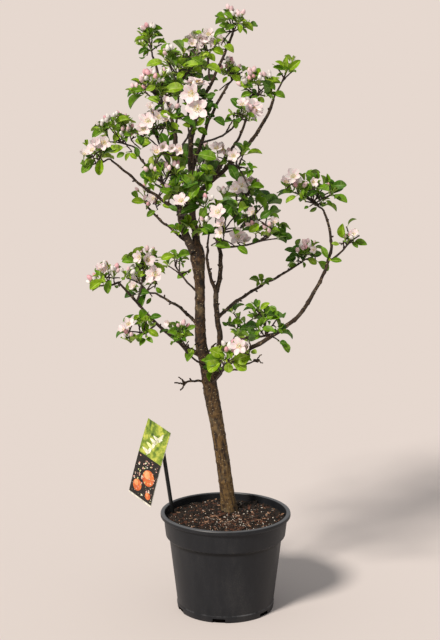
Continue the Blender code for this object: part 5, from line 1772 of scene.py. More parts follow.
class Tone(Enum):
    """How old and how lit a spray of leaves is, and so which plain colours it is dealt."""

    YOUNG = ("#9cb22e", "#a6b850", "#bfcc70")
    BRIGHT = ("#7ea01a", "#88a23a", "#a6ba52")
    MIDDLE = ("#5e8613", "#6e8e32", "#8ca646")
    DEEP = ("#3f680e", "#52742b", "#728e40")
    SHADED = ("#294a0a", "#3c5c22", "#5a7636")


class Bud(Enum):
    """The buds by the colour of their petals, and the green cup under an open flower."""

    ROSE = "#dca8b0"
    BLUSH = "#e8c6ca"
    PALE = "#ece0de"
    CUP = "#8fa24d"


def blade(face: Array, back: Array, wide: int, ribbed: bool) -> Shape:
    """A leaf's or petal's closed blade: its face, and two facets below each row of it.

    Args:
        face: the face's points, row by row.
        back: the points of the underside's middle line, one for each row.
        wide: how many points a row has.
        ribbed: whether the face's middle column is a rib.

    Returns:
        A closed shape, with face, underside and rib as kinds 0, 1 and 2.
    """
    rows = len(back)
    top = grid_faces(rows, wide, False)
    kinds = 2 * ribbed * (np.arange(len(top)) % (wide - 1) == wide // 2 - 1)
    left = np.arange(rows) * wide
    right, middle = left + wide - 1, len(face) + np.arange(rows)
    under = np.concatenate([np.stack([middle[:-1], left[:-1], left[1:], middle[1:]], axis=1),
                            np.stack([right[:-1], middle[:-1], middle[1:], right[1:]], axis=1)])
    ends = np.array([[*range(wide), middle[0]], [middle[-1], *range(right[-1], left[-1] - 1, -1)]])
    return Shape(np.concatenate([face, back]), [top, under, ends],
                 [kinds, np.ones(len(under), int), np.ones(len(ends), int)])


@dataclass(frozen=True)
class LeafForm:
    """One form of apple leaf: an oval blade on its stalk, folded at the rib, arched and waved.

    It is one long along y and half a width to either side along x. A blade point at share u
    of its length and s from rib to edge is x = s h(u), with the half width h = sin(pi u^1.12)
    to the power 0.62, and z = fold |s| h + arch sin(pi u) - droop u² + wave |s| sin(3 pi u).
    """

    fold: float
    arch: float
    droop: float
    wave: float
    twist: float
    stalk: float = 0.2
    rows: tuple[float, ...] = (0, 0.06, 0.18, 0.36, 0.56, 0.75, 0.89, 0.97, 1)
    columns: tuple[float, ...] = (-1, -0.52, -0.07, 0.07, 0.52, 1)
    thickness: float = 0.008

    def surface(self, s: Array, u: Array, lower: float) -> Array:
        """Points of the blade.

        Args:
            s: shares of the way from its rib to its edges, from -1 to 1.
            u: shares of its length.
            lower: how far the rib line is lowered, for its underside.

        Returns:
            One point for each pair of shares.
        """
        half = 0.5 * np.maximum(np.sin(np.pi * u ** 1.12), 0) ** 0.62 + 0.012
        x = s * half
        z = self.fold * np.abs(s) * half + self.arch * np.sin(np.pi * u) - self.droop * u ** 2
        z = z + self.wave * np.abs(s) * np.sin(3 * np.pi * u) - lower * (1 - np.abs(s))
        turn = self.twist * u
        along = self.stalk + (1 - self.stalk) * u
        return np.stack([x * np.cos(turn), along, z + x * np.sin(turn) * 0.6], axis=-1)

    def shape(self) -> Shape:
        """The leaf: its face, its underside and its stalk.

        Returns:
            A closed blade and stalk, with face, underside and rib as kinds 0, 1 and 2.
        """
        columns, rows = np.array(self.columns), np.array(self.rows)
        u, s = np.meshgrid(rows, columns, indexing="ij")
        face = self.surface(s, u, 0.0).reshape(-1, 3)
        below = self.surface(np.zeros(len(rows)), rows, self.thickness)
        t = np.linspace(0, 1, 3)
        path = np.stack([0 * t, t * (self.stalk + 0.03), -0.02 * np.sin(np.pi * t)], axis=-1)
        stalk = tubes(path[None], np.array([[0.034, 0.024, 0.018]]), 3, 2)
        return joined([blade(face, below, len(columns), True), stalk])


@dataclass(frozen=True)
class PetalForm:
    """One form of petal: a narrow claw that widens to a round, cupped blade, one long along y."""

    cup: float
    curl: float
    crease: float
    rows: tuple[float, ...] = (0, 0.14, 0.34, 0.58, 0.8, 0.93, 1)
    thickness: float = 0.012

    def shape(self) -> Shape:
        """The petal: x = s h(u) and z = cup (u² + s² h) - curl u^4, with a crease between.

        The half width h is sin(pi u^1.45) to the power 0.75, and not less than the claw's.

        Returns:
            A closed shape, with its face and back as kinds 0 and 1.
        """
        rows, columns = np.array(self.rows), np.array([-1, -0.45, 0.45, 1])
        u, s = np.meshgrid(rows, columns, indexing="ij")
        half = np.maximum(0.5 * np.maximum(np.sin(np.pi * u ** 1.45), 0) ** 0.75, 0.06 + 0.1 * u)
        bend = self.cup * (u ** 2 + s ** 2 * half) - self.curl * u ** 4 - self.crease * np.abs(s) * u
        reach = u - 0.06 * (np.abs(s) < 0.6) * (u > 0.95)
        face = np.stack([s * half, reach, bend], axis=-1).reshape(-1, 3)
        back = np.stack([0 * rows, reach[:, 1], bend[:, 1] - self.thickness * 2], axis=-1)
        return blade(face, back, len(columns), False)


@dataclass(frozen=True)
class BloomParts:
    """The small parts of blossom: a bud with its calyx, and a flower's ring of stamens."""

    sides: int = 8
    stamens: int = 14

    def bud(self) -> Shape:
        """A bud along +z, one long: rings of a full egg with five faint lobes that twist.

        Returns:
            A closed shape, with petals and calyx as kinds 0 and 1.
        """
        heights = np.array([-0.12, 0.04, 0.2, 0.45, 0.7, 0.9, 1.0])
        widths = np.array([0.09, 0.2, 0.3, 0.35, 0.3, 0.17, 0.05])
        angles = np.arange(self.sides) * math.tau / self.sides + heights[:, None] * 1.2
        radii = widths[:, None] * (1 + 0.07 * np.cos(5 * angles))
        upward = heights[:, None] + 0 * radii
        verts = np.stack([radii * np.cos(angles), radii * np.sin(angles), upward], axis=-1)
        walls = grid_faces(len(heights), self.sides, True)
        around = np.arange(self.sides)
        caps = np.array([around[::-1], (len(heights) - 1) * self.sides + around])
        kinds = np.where(np.arange(len(walls)) < 2 * self.sides, 1, 0)
        return Shape(verts.reshape(-1, 3), [walls, caps], [kinds, np.array([1, 0])])

    def ring(self) -> Shape:
        """A flower's middle: thin filaments that lean out, each with an anther, round a green dome.

        Returns:
            Filaments, anthers and dome as kinds 0, 1 and 2, about +z, one high.
        """
        index = np.arange(self.stamens)
        angle = index * GOLDEN_ANGLE
        lean = 0.25 + 0.55 * np.sqrt((index + 0.5) / self.stamens)
        tip = np.stack([lean * np.cos(angle), lean * np.sin(angle), 1 - 0.35 * lean], axis=1)
        paths = tip[:, None] * np.array([0.1, 0.6, 1.0])[:, None]
        filaments = tubes(paths, np.full((self.stamens, 3), 0.035), 3, 0)
        grain = np.stack([tip - 0.1 * UP, tip, tip + 0.1 * UP], axis=1)
        anthers = tubes(grain, np.tile([0.05, 0.13, 0.05], (self.stamens, 1)), 4, 1)
        heights = np.array([[-0.25], [0.05], [0.3]])
        dome = tubes((heights * UP)[None], np.array([[0.2, 0.24, 0.08]]), 8, 2)
        return joined([filaments, anthers, dome])


def towards(direction: Array) -> Array:
    """Axes that face a direction.

    Args:
        direction: of any length.

    Returns:
        A 3 by 3 matrix: its third column is the direction, its second as near to upright as it can be.
    """
    z_axis = unit(direction)
    y_axis = UP - z_axis * z_axis[2]
    if np.linalg.norm(y_axis) < 0.05:
        y_axis = np.array([1.0, 0, 0]) - z_axis * z_axis[0]
    y_axis = unit(y_axis)
    return np.stack([np.cross(y_axis, z_axis), y_axis, z_axis], axis=-1)


def spiral_direction(index: int, count: int, turn: float) -> Array:
    """One of some directions that the golden angle spreads evenly over a ball.

    Args:
        index: its number.
        count: how many there are.
        turn: how far they are all turned about the upright.

    Returns:
        The direction, of length one.
    """
    height = 1 - 2 * (index + 0.5) / count
    ring = math.sqrt(1 - height * height)
    angle = index * GOLDEN_ANGLE + turn
    return np.array([ring * math.cos(angle), ring * math.sin(angle), height])


def blade_place(hub: Array, axis: Array, angle: float, spread: float, length: float, width: float) -> Array:
    """The placement of a leaf or petal of a whorl.

    Args:
        hub: where it springs.
        axis: the whorl's axis.
        angle: its place about the axis.
        spread: its angle from the axis.
        length: its length.
        width: its width.

    Returns:
        A 3 by 4 matrix.
    """
    axes = towards(axis)
    radial = axes @ np.array([math.cos(angle), math.sin(angle), 0])
    across = axes @ np.array([-math.sin(angle), math.cos(angle), 0])
    way = axes[:, 2] * math.cos(spread) + radial * math.sin(spread)
    upward = axes[:, 2] * math.sin(spread) - radial * math.cos(spread)
    return np.stack([-across * width, way * length, upward * length, hub], axis=-1)


@dataclass
class Crown:
    """The crown: every mass's stem, shoots, rosettes, blossom and buds, gathered and then made."""

    leaf_length: float = 42 * MM
    leaf_width: float = 21 * MM
    leaf_room: float = 42 * MM
    size_range: tuple[float, float] = (0.72, 1.12)
    whorl: int = 5
    petal_length: float = 25 * MM
    petal_width: float = 17.5 * MM
    half_open: float = 0.77
    bud_length: float = 13.8 * MM
    bud_mix: tuple[Bud, ...] = (Bud.ROSE, Bud.BLUSH, Bud.BLUSH, Bud.PALE, Bud.PALE)
    corymb_tilt: tuple[float, float] = (22, 44)
    corymb_top: float = 10
    stalk_length: float = 17 * MM
    stalk_sides: int = 5
    twig_sides: int = 7
    shoot_reach: float = 0.54
    shoot_lift: float = 0.55
    shoot_bow: float = 1.5 * MM
    shoot_radii: tuple[float, float] = (1.6 * MM, 1.3 * MM)
    twiglet_share: float = 0.45
    leaf_spread: tuple[float, float] = (66, 16)
    flower_spread: tuple[float, float] = (70, 4)
    leaf_vary: float = 0.12
    flower_vary: float = 0.03
    shrinks: tuple[float, ...] = (1.0, 0.85, 0.7)
    bud_step: int = 4
    bud_turn: int = 11
    bud_spots: int = 14
    bud_reach: float = 0.66
    spring: tuple[float, float] = (0.62, 0.97)
    stem_drop: float = 0.35
    stem_sag: float = 0.05
    stem_knee: float = 8 * MM
    stem_step: float = 9 * MM
    stem_wobble: float = 0.9 * MM
    room: float = 1.1
    least: float = 0.26
    flower_free: float = 19 * MM
    cluster_free: float = 11 * MM
    free_front: float = 3 * MM
    free_depth: float = 260 * MM
    light_near: float = 5 * MM
    light_depth: float = 75 * MM
    light_share: float = 0.8
    wood_gap: float = 0.8 * MM
    neighbours: int = 400
    tone_steps: tuple[float, ...] = (0.12, 0.38, 0.66, 1.02)
    tone_spread: float = 0.28
    cup_size: float = 5.5 * MM
    ring_size: float = 8.5 * MM
    light_way: Array = field(default_factory=lambda: np.array([-0.458, -0.586, 0.669]))
    limbs: dict[str, Limb] = field(default_factory=dict)
    spur_paths: list[Array] = field(default_factory=list)
    hearts: Array = field(default_factory=lambda: np.zeros((0, 3)))
    girths: Array = field(default_factory=lambda: np.zeros(0))
    kept_free: Array = field(default_factory=lambda: np.zeros((0, 4)))
    leaves: dict[Tone, list[tuple[int, Array]]] = field(default_factory=lambda: {tone: [] for tone in Tone})
    petals: list[tuple[int, Array]] = field(default_factory=list)
    rings: list[Array] = field(default_factory=list)
    buds: dict[Bud, list[Array]] = field(default_factory=lambda: {bud: [] for bud in Bud})
    wood: list[tuple[Array, Array]] = field(default_factory=list)
    stalks: list[Array] = field(default_factory=list)
    middles: list[Array] = field(default_factory=list)

    def forms(self) -> list[Shape]:
        """The forms of leaf, from nearly flat to well folded and arched.

        Returns:
            Six shapes.
        """
        rows = ((0.38, 0.05, 0.04, 0.01, 0.1), (0.55, 0.07, 0.08, 0.014, -0.2),
                (0.28, 0.08, 0.13, 0.018, 0.25), (0.75, 0.04, 0.03, 0.012, -0.1),
                (0.42, 0.1, 0.17, 0.02, 0.0), (0.18, 0.05, 0.06, 0.022, -0.3))
        return [LeafForm(*row).shape() for row in rows]

    def inside(self, mass: Mass, points: Array, room: float) -> bool:
        """Whether points lie in a mass's egg-shaped space.

        Args:
            mass: the mass.
            points: the points, one row each.
            room: how much wider the space is taken.

        Returns:
            True where they all do.
        """
        away = (points - np.array(mass.centre) * MM) / (np.array(mass.radii) * MM * room)
        return bool((np.sum(away * away, axis=1) <= 1).all())

    def clear(self, place: Array, least: float) -> bool:
        """Whether a blade keeps off the limbs and the other blades, and hides no shown blossom.

        Args:
            place: the blade's placement.
            least: how far its middle stays from the others.

        Returns:
            True where it does.
        """
        spots = np.array([[0, 0.35], [-0.4, 0.5], [0, 0.55], [0.4, 0.5], [-0.3, 0.78], [0.3, 0.78], [0, 1]])
        points = place[:, 3] + spots[:, :1] * place[:, 0] + spots[:, 1:] * place[:, 1]
        gaps = np.linalg.norm(self.hearts[None] - points[:, None], axis=2) - self.girths
        away = points[:, None] - self.kept_free[None, :, :3]
        beside = np.hypot(away[:, :, 0], away[:, :, 2]) < self.kept_free[:, 3]
        before = (away[:, :, 1] < self.free_front) & (away[:, :, 1] > -self.free_depth)
        along = away @ self.light_way
        aside = np.sqrt(np.maximum((away ** 2).sum(axis=2) - along ** 2, 0))
        shading = (aside < self.light_share * self.kept_free[:, 3]) & (along > self.light_near)
        shading &= along < self.light_depth
        if gaps.min() < self.wood_gap or (beside & before).any() or shading.any():
            return False
        middle, others = points[2], self.middles[-self.neighbours:]
        if others and np.linalg.norm(np.array(others) - middle, axis=1).min() < least:
            return False
        self.middles.append(middle)
        return True

    def lay_leaf(self, place: Array, dice: random.Random, light: float) -> None:
        """Lays a leaf in one of the forms, in a tone that follows how lit it is.

        Args:
            place: the blade's placement.
            dice: seeded random numbers.
            light: how lit it is, from 0 to about 1.
        """
        tint = light - 0.06 + dice.uniform(-self.tone_spread, self.tone_spread)
        tone = list(Tone)[sum(tint < step for step in self.tone_steps)]
        self.leaves[tone].append((dice.randrange(6), place))

    def add_leaf(self, mass: Mass | None, place: Array, dice: random.Random, light: float) -> bool:
        """Adds a leaf where it fits its space.

        Args:
            mass: the mass whose space it keeps to, if any.
            place: the blade's placement.
            dice: seeded random numbers.
            light: how lit it is.

        Returns:
            True where it was added.
        """
        ends = place[:, 3] + np.array([[-0.45, 0.56], [0.45, 0.56], [0, 1.0]]) @ place[:, :2].T
        if mass and not self.inside(mass, ends, self.room):
            return False
        if not self.clear(place, self.least * float(np.linalg.norm(place[:, 1]))):
            return False
        self.lay_leaf(place, dice, light)
        return True

    def add_flower(self, hub: Array, axis: Array, dice: random.Random, size: float = 1.0) -> None:
        """Adds an open flower: five petals, its ring of stamens and its green cup.

        Args:
            hub: its middle.
            axis: the way that it faces.
            dice: seeded random numbers.
            size: as a share of a full flower. A small one is half open.
        """
        turn = dice.uniform(0, math.tau)
        open_angle = dice.uniform(60, 78) if size > self.half_open else dice.uniform(36, 60)
        for place in range(self.whorl):
            spread = math.radians(open_angle + dice.uniform(-7, 7))
            length = self.petal_length * size * (1 + dice.uniform(-0.06, 0.06))
            width = self.petal_width * size * (1 + dice.uniform(-0.1, 0.1))
            angle = turn + (place + dice.uniform(-0.06, 0.06)) * math.tau / self.whorl
            self.petals.append((dice.randrange(3), blade_place(hub, axis, angle, spread, length, width)))
        axes = towards(axis) * self.ring_size * size
        self.rings.append(np.concatenate([axes, hub[:, None]], axis=1))
        self.add_bud(hub - unit(axis) * 0.8 * self.cup_size, axis, self.cup_size, Bud.CUP)

    def add_bud(self, foot: Array, axis: Array, length: float, bud: Bud) -> None:
        """Adds one bud, or a flower's green cup.

        Args:
            foot: where it springs.
            axis: the way that it points.
            length: its length.
            bud: its colour, or the cup.
        """
        axes = towards(axis) * length
        self.buds[bud].append(np.concatenate([axes, foot[:, None]], axis=1))

    def add_stalk(self, root: Array, tip: Array, bend: Array) -> None:
        """Adds a green stalk: a straight run + bend times 4t(1-t).

        Args:
            root: its first point.
            tip: its last point.
            bend: how far its middle is moved.
        """
        t = np.linspace(0, 1, 5)[:, None]
        self.stalks.append(root + (tip - root) * t + 4 * t * (1 - t) * bend)

    def add_shoot(self, root: Array, tip: Array, lift: float, radii: tuple[float, float]) -> None:
        """Adds a woody shoot of seven points, lifted between its ends and kinked at its nodes.

        Args:
            root: its first point.
            tip: its last point.
            lift: how far its middle is lifted.
            radii: at its root and its tip.
        """
        t = np.linspace(0, 1, 7)[:, None]
        kink = np.array([[0], [0.4], [-0.5], [0.6], [-0.4], [0.3], [0]]) * MM
        side = unit(np.cross(tip - root, UP + 0.01))
        path = root + (tip - root) * t + 4 * t * (1 - t) * lift * UP + kink * side
        taper = radii[0] + (radii[1] - radii[0]) * t[:, 0] + np.array([0.2, 0, 0.22, 0, 0.2, 0, 0.3]) * MM
        self.wood.append((path, taper))

    def rosette(
        self, mass: Mass | None, hub: Array, axis: Array, sizes: list[float], spreads: list[float],
        turn: float, dice: random.Random, light: float, slim: float = 1.0,
    ) -> None:
        """Adds a whorl of leaves round an axis, each at its own size and spread.

        Args:
            mass: the mass whose space they keep to, if any.
            hub: where they spring.
            axis: the whorl's axis.
            sizes: each leaf's size.
            spreads: each leaf's angle from the axis in degrees.
            turn: the first leaf's turn about the axis.
            dice: the mass's random numbers.
            light: how lit the leaves are.
            slim: their width as a share of the usual.
        """
        shown = SHOWN.get(mass.name, Shown()) if mass else Shown()
        for index, (size, spread) in enumerate(zip(sizes, spreads)):
            angle = turn + index * math.tau / len(sizes)
            if dice.random() > shown.fill:
                continue
            for shrink in self.shrinks:
                length = self.leaf_length * size * shrink
                width = self.leaf_width * size * shrink * slim * min(1.0, shown.slim / 0.55) ** 2
                place = blade_place(hub, axis, angle, math.radians(spread), length, width)
                if self.add_leaf(mass, place, dice, light):
                    break

    def heart_leaves(
        self, mass: Mass | None, hub: Array, axis: Array, size: float, dice: random.Random, light: float,
        count: int,
    ) -> None:
        """Adds the narrow young leaves that stand up in the middle of a rosette.

        Args:
            mass: the mass whose space they keep to, if any.
            hub: where they spring.
            axis: the rosette's axis.
            size: the rosette's size.
            dice: seeded random numbers.
            light: how lit the rosette is.
            count: how many there are.
        """
        sizes = [size * dice.uniform(0.42, 0.72) for _ in range(count)]
        spreads = [dice.uniform(14, 42) for _ in range(count)]
        self.rosette(mass, hub, axis, sizes, spreads, dice.uniform(0, math.tau), dice, light + 0.25, 0.62)

    def corymb(self, base: Array, axis: Array, opened: int, closed: int, dice: random.Random) -> None:
        """Adds a spur's cluster of blossom: stalks that fan out from one point.

        Args:
            base: the point.
            axis: the cluster's axis.
            opened: how many open flowers it has.
            closed: how many buds it has.
            dice: seeded random numbers.
        """
        turn = dice.uniform(0, math.tau)
        axes = towards(axis)
        for index in range(opened + closed):
            tilt = math.radians(dice.uniform(*self.corymb_tilt) if index else self.corymb_top)
            angle = turn + index * GOLDEN_ANGLE
            aside = math.sin(tilt)
            way = axes @ np.array([aside * math.cos(angle), aside * math.sin(angle), math.cos(tilt)])
            way = unit(way + 0.2 * UP)
            foot = base + way * self.stalk_length * dice.uniform(0.8, 1.15)
            self.add_stalk(base, foot, 0.12 * self.stalk_length * (axis - way))
            if index < opened:
                self.add_flower(foot, unit(way + 0.35 * axis), dice, dice.uniform(0.85, 1.0))
            else:
                length = self.bud_length * dice.uniform(0.75, 1.15)
                self.add_bud(foot, way, length, dice.choice(self.bud_mix))

    def stem(self, mass: Mass, turn: float) -> tuple[Limb, Array]:
        """A mass's stem: off its carrier by a knee, then sagging to below the middle of the space.

        Args:
            mass: its row of the table.
            turn: a number that sets its small wobble.

        Returns:
            The stem as the source has it, and the finer path of the wood.
        """
        carrier = self.limbs[mass.carrier]
        point, way, radius = carrier.place(mass.at)
        middle = np.array(mass.centre) * MM - UP * self.stem_drop * mass.radii[2] * MM
        across = middle - point
        outward = way if mass.at == 1.0 else unit(across - way * (across @ way))
        start = point + outward * (0 if mass.at == 1.0 else radius)
        reach = float(np.linalg.norm(middle - start))
        knee = start + outward * min(self.stem_knee, 0.2 * reach)
        sag = knee + 0.55 * (middle - knee) - UP * self.stem_sag * reach
        coarse = np.array([start, knee, sag, middle])
        t = np.linspace(0, 1, max(6, int(reach / self.stem_step)))
        path = smooth_along(coarse, t)
        path[0] = carrier.heart_near(point)
        wobble = np.sin(np.arange(1, len(t) - 1) * 2.4 + turn)[:, None]
        path[1:-1] += self.stem_wobble * wobble * unit(np.cross(outward, UP + 0.01))
        self.wood.append((path, mass.stem * MM * (1 - 0.25 * t) + 0.25 * MM * (np.arange(len(t)) % 2)))
        return Limb(coarse, mass.stem * MM * np.array([1, 1, 0.95, 0.85]), coarse, coarse), path

    def join(self, nodes: list[Array], tip: Array, green: float = 0.0) -> None:
        """Joins a tip to the nearest wood, by a green stalk or by a shoot.

        Args:
            nodes: points of the wood. Those of a new shoot are added.
            tip: the point to join.
            green: within this distance it is a green stalk.
        """
        near = min(nodes, key=lambda node: float(np.linalg.norm(node - tip)))
        gap = float(np.linalg.norm(near - tip))
        if gap < green:
            self.add_stalk(near, tip, 0.06 * gap * UP)
        elif gap > 2 * MM:
            self.add_shoot(near, tip, 0.05 * gap, (1.5 * MM, 1.1 * MM))
            nodes += [near + (tip - near) * share for share in (0.5, 1.0)]

    def grow_shown(self, mass: Mass, nodes: list[Array], dice: random.Random) -> None:
        """Grows what shows of a mass in front: clusters of buds, open flowers, then single leaves.

        Args:
            mass: the mass.
            nodes: points of its wood, to which new twigs are added.
            dice: the mass's random numbers.
        """
        shown = SHOWN.get(mass.name, Shown())
        for spot in shown.clusters:
            axis = unit(np.array([dice.uniform(-0.35, 0.35), -0.3, 1.0]))
            base = np.array(spot) * MM - axis * (self.stalk_length * 0.9 + self.bud_length / 2)
            self.join(nodes, base)
            self.corymb(base, axis, 0, 4 if len(shown.clusters) == 1 else 3, dice)
            sizes = [dice.uniform(0.5, 0.75) for _ in range(4)]
            spreads = [dice.uniform(52, 80) for _ in range(4)]
            self.rosette(mass, base, axis, sizes, spreads, dice.uniform(0, math.tau), dice,
                         mass.light + 0.1, 0.75)
        for spot in shown.flowers:
            foot, size = np.array(spot[:3]) * MM, spot[3] / 100
            aside = 0.4 if size > self.half_open else 0.9
            facing = unit(np.array([dice.uniform(-aside, aside) - 0.2, -1, dice.uniform(0, 0.5 + aside)]))
            base = foot - unit(0.4 * facing + UP) * self.stalk_length * dice.uniform(0.7, 1.0)
            self.join(nodes, base)
            self.add_stalk(base, foot - facing * 4 * MM, -0.1 * self.stalk_length * facing)
            self.add_flower(foot, facing, dice, size)
        self.shown_leaves(shown, nodes, mass.light + 0.08, dice)

    def shown_leaves(self, shown: Shown, nodes: list[Array], light: float, dice: random.Random) -> None:
        """Lays the single leaves that show, each on a stalk or shoot from the nearest wood.

        Args:
            shown: the leaves, in millimetres.
            nodes: points of the wood.
            light: how lit they are.
            dice: seeded random numbers.
        """
        for row in shown.leaves:
            root, tip = np.array(row[:3]) * MM, np.array(row[3:]) * MM
            root = root - 0.18 * (tip - root)
            self.join(nodes, root, 8 * MM)
            way = tip - root
            length = float(np.linalg.norm(way))
            facing = np.array([dice.uniform(-0.4, 0.4), -0.8, dice.uniform(0.2, 0.75)])
            upward = unit(facing - way * (facing @ way) / length ** 2)
            beside = np.cross(way / length, upward) * length * shown.slim * 0.82 * dice.uniform(0.9, 1.1)
            place = np.stack([beside, way, upward * length, root], axis=-1)
            self.middles.append(root + 0.55 * way)
            self.lay_leaf(place, dice, light)

    def grow(self, mass: Mass) -> None:
        """Grows one mass by the source's rule, then carries it on to finer growth.

        The stem bends from its carrier to the middle of the space. Shoots reach out to hubs
        that the golden angle spreads evenly, each with a whorl of leaves or a flower. The
        clusters of buds come last.

        Args:
            mass: its row of the table.
        """
        dice, fine = random.Random(mass.name), random.Random(mass.name + "_fine")
        turn = dice.uniform(0, math.tau)
        centre, radii = np.array(mass.centre) * MM, np.array(mass.radii) * MM
        size = float(np.clip(radii.min() / self.leaf_room, *self.size_range))
        size *= SHOWN.get(mass.name, Shown()).scale
        stem, path = self.stem(mass, turn)
        self.grow_shown(mass, list(path[len(path) // 2:]), fine)
        shows = mass.name in SHOWN
        for index in range(mass.shoots):
            hub = centre + spiral_direction(index, mass.shoots, turn) * radii * self.shoot_reach
            height = 1 - index / max(mass.shoots - 1, 1)
            spring, _, _ = stem.place(self.spring[0] + (self.spring[1] - self.spring[0]) * height)
            run = unit(hub - spring)
            axis = unit(run + UP * self.shoot_lift)
            whorl_turn = dice.uniform(0, math.tau)
            flower = (index * 2 + 1) % mass.shoots < mass.flowers
            spread, sway = self.flower_spread if flower else self.leaf_spread
            vary = self.flower_vary if flower else self.leaf_vary
            spreads, sizes = [], []
            for _ in range(self.whorl):
                spreads.append(spread + dice.uniform(-1, 1) * sway)
                sizes.append(size * (1 + dice.uniform(-1, 1) * vary))
            self.add_shoot(spring, hub, self.shoot_bow, self.shoot_radii)
            light = mass.light + 0.12 * float(hub[2] - centre[2]) / float(radii[2])
            before = shows and hub[1] < centre[1] + 0.2 * radii[1]
            if flower and not before:
                lower = [fine.uniform(78, 100) for _ in range(5)]
                smaller = [value * 0.85 for value in sizes]
                self.rosette(mass, hub - axis * 2 * MM, axis, smaller, lower, whorl_turn, fine, light)
                facing = unit(axis + 0.4 * self.outward(hub))
                self.corymb(hub, facing, 2 + fine.randrange(2), 2 + fine.randrange(2), fine)
            else:
                self.rosette(mass, hub, axis, sizes, spreads, whorl_turn, fine, light)
                self.heart_leaves(mass, hub, axis, size, fine, light, fine.randrange(3, 6))
            if fine.random() < self.twiglet_share:
                self.twiglet(mass, spring, hub, size, light, fine)
        self.grow_buds(mass, stem, turn, size, fine)

    def grow_buds(self, mass: Mass, stem: Limb, turn: float, size: float, fine: random.Random) -> None:
        """Grows a mass's clusters of buds, each on a shoot with a few leaves.

        They take every fourth of the first eleven of fourteen directions.

        Args:
            mass: its row of the table.
            stem: its stem.
            turn: how far its directions are turned.
            size: the size of its leaves.
            fine: the random numbers of its finer growth.
        """
        centre, radii = np.array(mass.centre) * MM, np.array(mass.radii) * MM
        for index in range(mass.buds):
            number = (index * self.bud_step) % self.bud_turn
            way = spiral_direction(number, self.bud_spots, turn + 1)
            foot = centre + way * radii * self.bud_reach
            if mass.name in SHOWN and foot[1] < centre[1]:
                continue
            spring, _, _ = stem.place(self.spring[1])
            axis = unit(unit(foot - spring) + UP * self.shoot_lift)
            base = foot - axis * self.stalk_length * 0.8
            self.add_shoot(spring, base, 1.0 * MM, (1.5 * MM, 1.3 * MM))
            self.corymb(base, axis, 0, fine.randrange(4, 6), fine)
            sizes = [size * fine.uniform(0.6, 0.85) for _ in range(4)]
            self.rosette(mass, base, axis, sizes, [fine.uniform(62, 88) for _ in range(4)],
                         fine.uniform(0, math.tau), fine, mass.light + 0.1)

    def outward(self, point: Array) -> Array:
        """The level direction from the tree's middle line to a point."""
        return unit(np.array([point[0] + 50 * MM, point[1], 0.02]))

    def twiglet(
        self, mass: Mass, spring: Array, hub: Array, size: float, light: float, dice: random.Random,
    ) -> None:
        """Adds a short side twig on a shoot, with four small leaves.

        Args:
            mass: the mass.
            spring: the shoot's root.
            hub: its tip.
            size: the size of the mass's leaves.
            light: how lit the shoot is.
            dice: seeded random numbers.
        """
        root = spring + (hub - spring) * dice.uniform(0.4, 0.7)
        side = unit(np.cross(hub - spring, np.array([dice.uniform(-1, 1) for _ in range(3)])))
        tip = root + unit(side + 0.4 * UP) * dice.uniform(9, 17) * MM
        self.add_shoot(root, tip, 0.5 * MM, (1.3 * MM, 1.1 * MM))
        sizes = [size * dice.uniform(0.45, 0.68) for _ in range(4)]
        self.rosette(mass, tip, unit(side + UP * 0.6), sizes, [dice.uniform(45, 75) for _ in range(4)],
                     dice.uniform(0, math.tau), dice, light, 0.8)

    def sprig(
        self, name: str, at: float, count: int, reach: float, lean: float, dice: random.Random,
    ) -> None:
        """Adds a small rosette on a spur that stands off bare wood.

        Args:
            name: the limb.
            at: the place on it.
            count: how many leaves it has.
            reach: the spur's length in millimetres.
            lean: how far it leans to the front.
            dice: seeded random numbers.
        """
        limb = self.limbs[name]
        point, way, radius = limb.place(at)
        heart = limb.heart_near(point)
        side = np.array([dice.uniform(-0.5, 0.5), -lean, dice.uniform(0.2, 1)])
        side = unit(side - way * (side @ way))
        tip = heart + side * (radius + reach * MM)
        self.add_shoot(heart, tip, 0.4 * MM, (1.7 * MM, 1.4 * MM))
        axis = unit(side + 0.4 * UP)
        sizes = [dice.uniform(0.5, 0.78) for _ in range(count)]
        spreads = [dice.uniform(50, 82) for _ in range(count)]
        self.rosette(None, tip, axis, sizes, spreads, dice.uniform(0, math.tau), dice, 0.66, 0.85)
        self.heart_leaves(None, tip, axis, 0.75, dice, 0.6, 2)

    def collect(self, entries: list[tuple[int, Array]], shapes: list[Shape]) -> Shape:
        """Copies of several forms as one shape.

        Args:
            entries: a form's number and a placement for each copy.
            shapes: the forms.

        Returns:
            One shape.
        """
        parts = []
        for index, shape in enumerate(shapes):
            places = [place for form, place in entries if form == index]
            if places:
                parts.append(shape.copies(np.array(places)))
        return joined(parts)

    def build(self, limbs: dict[str, Limb]) -> None:
        """Grows every mass and makes the pieces, each kind apart.

        Args:
            limbs: the limbs by name.
        """
        self.limbs = limbs
        self.hearts = np.concatenate([limb.heart[::3] for limb in limbs.values()])
        self.girths = np.concatenate([limb.girth[::3] for limb in limbs.values()])
        spots = [(row[:3], self.flower_free * row[3] / 100)
                 for shown in SHOWN.values() for row in shown.flowers]
        spots += [(row, self.cluster_free) for shown in SHOWN.values() for row in shown.clusters]
        self.kept_free = np.array([[*(np.array(spot) * MM), reach] for spot, reach in spots])
        for mass in MASSES:
            self.grow(mass)
        dice = random.Random(41)
        for sprig in SPRIGS:
            self.sprig(*sprig, dice)
        self.shown_leaves(Shown(leaves=TRUNK_LEAVES), list(limbs["trunk"].heart), 0.6, dice)
        names = tuple(mass.name for mass in MASSES)
        self.make_wood(names)
        self.make_leaves(names)
        self.make_blossom(names)

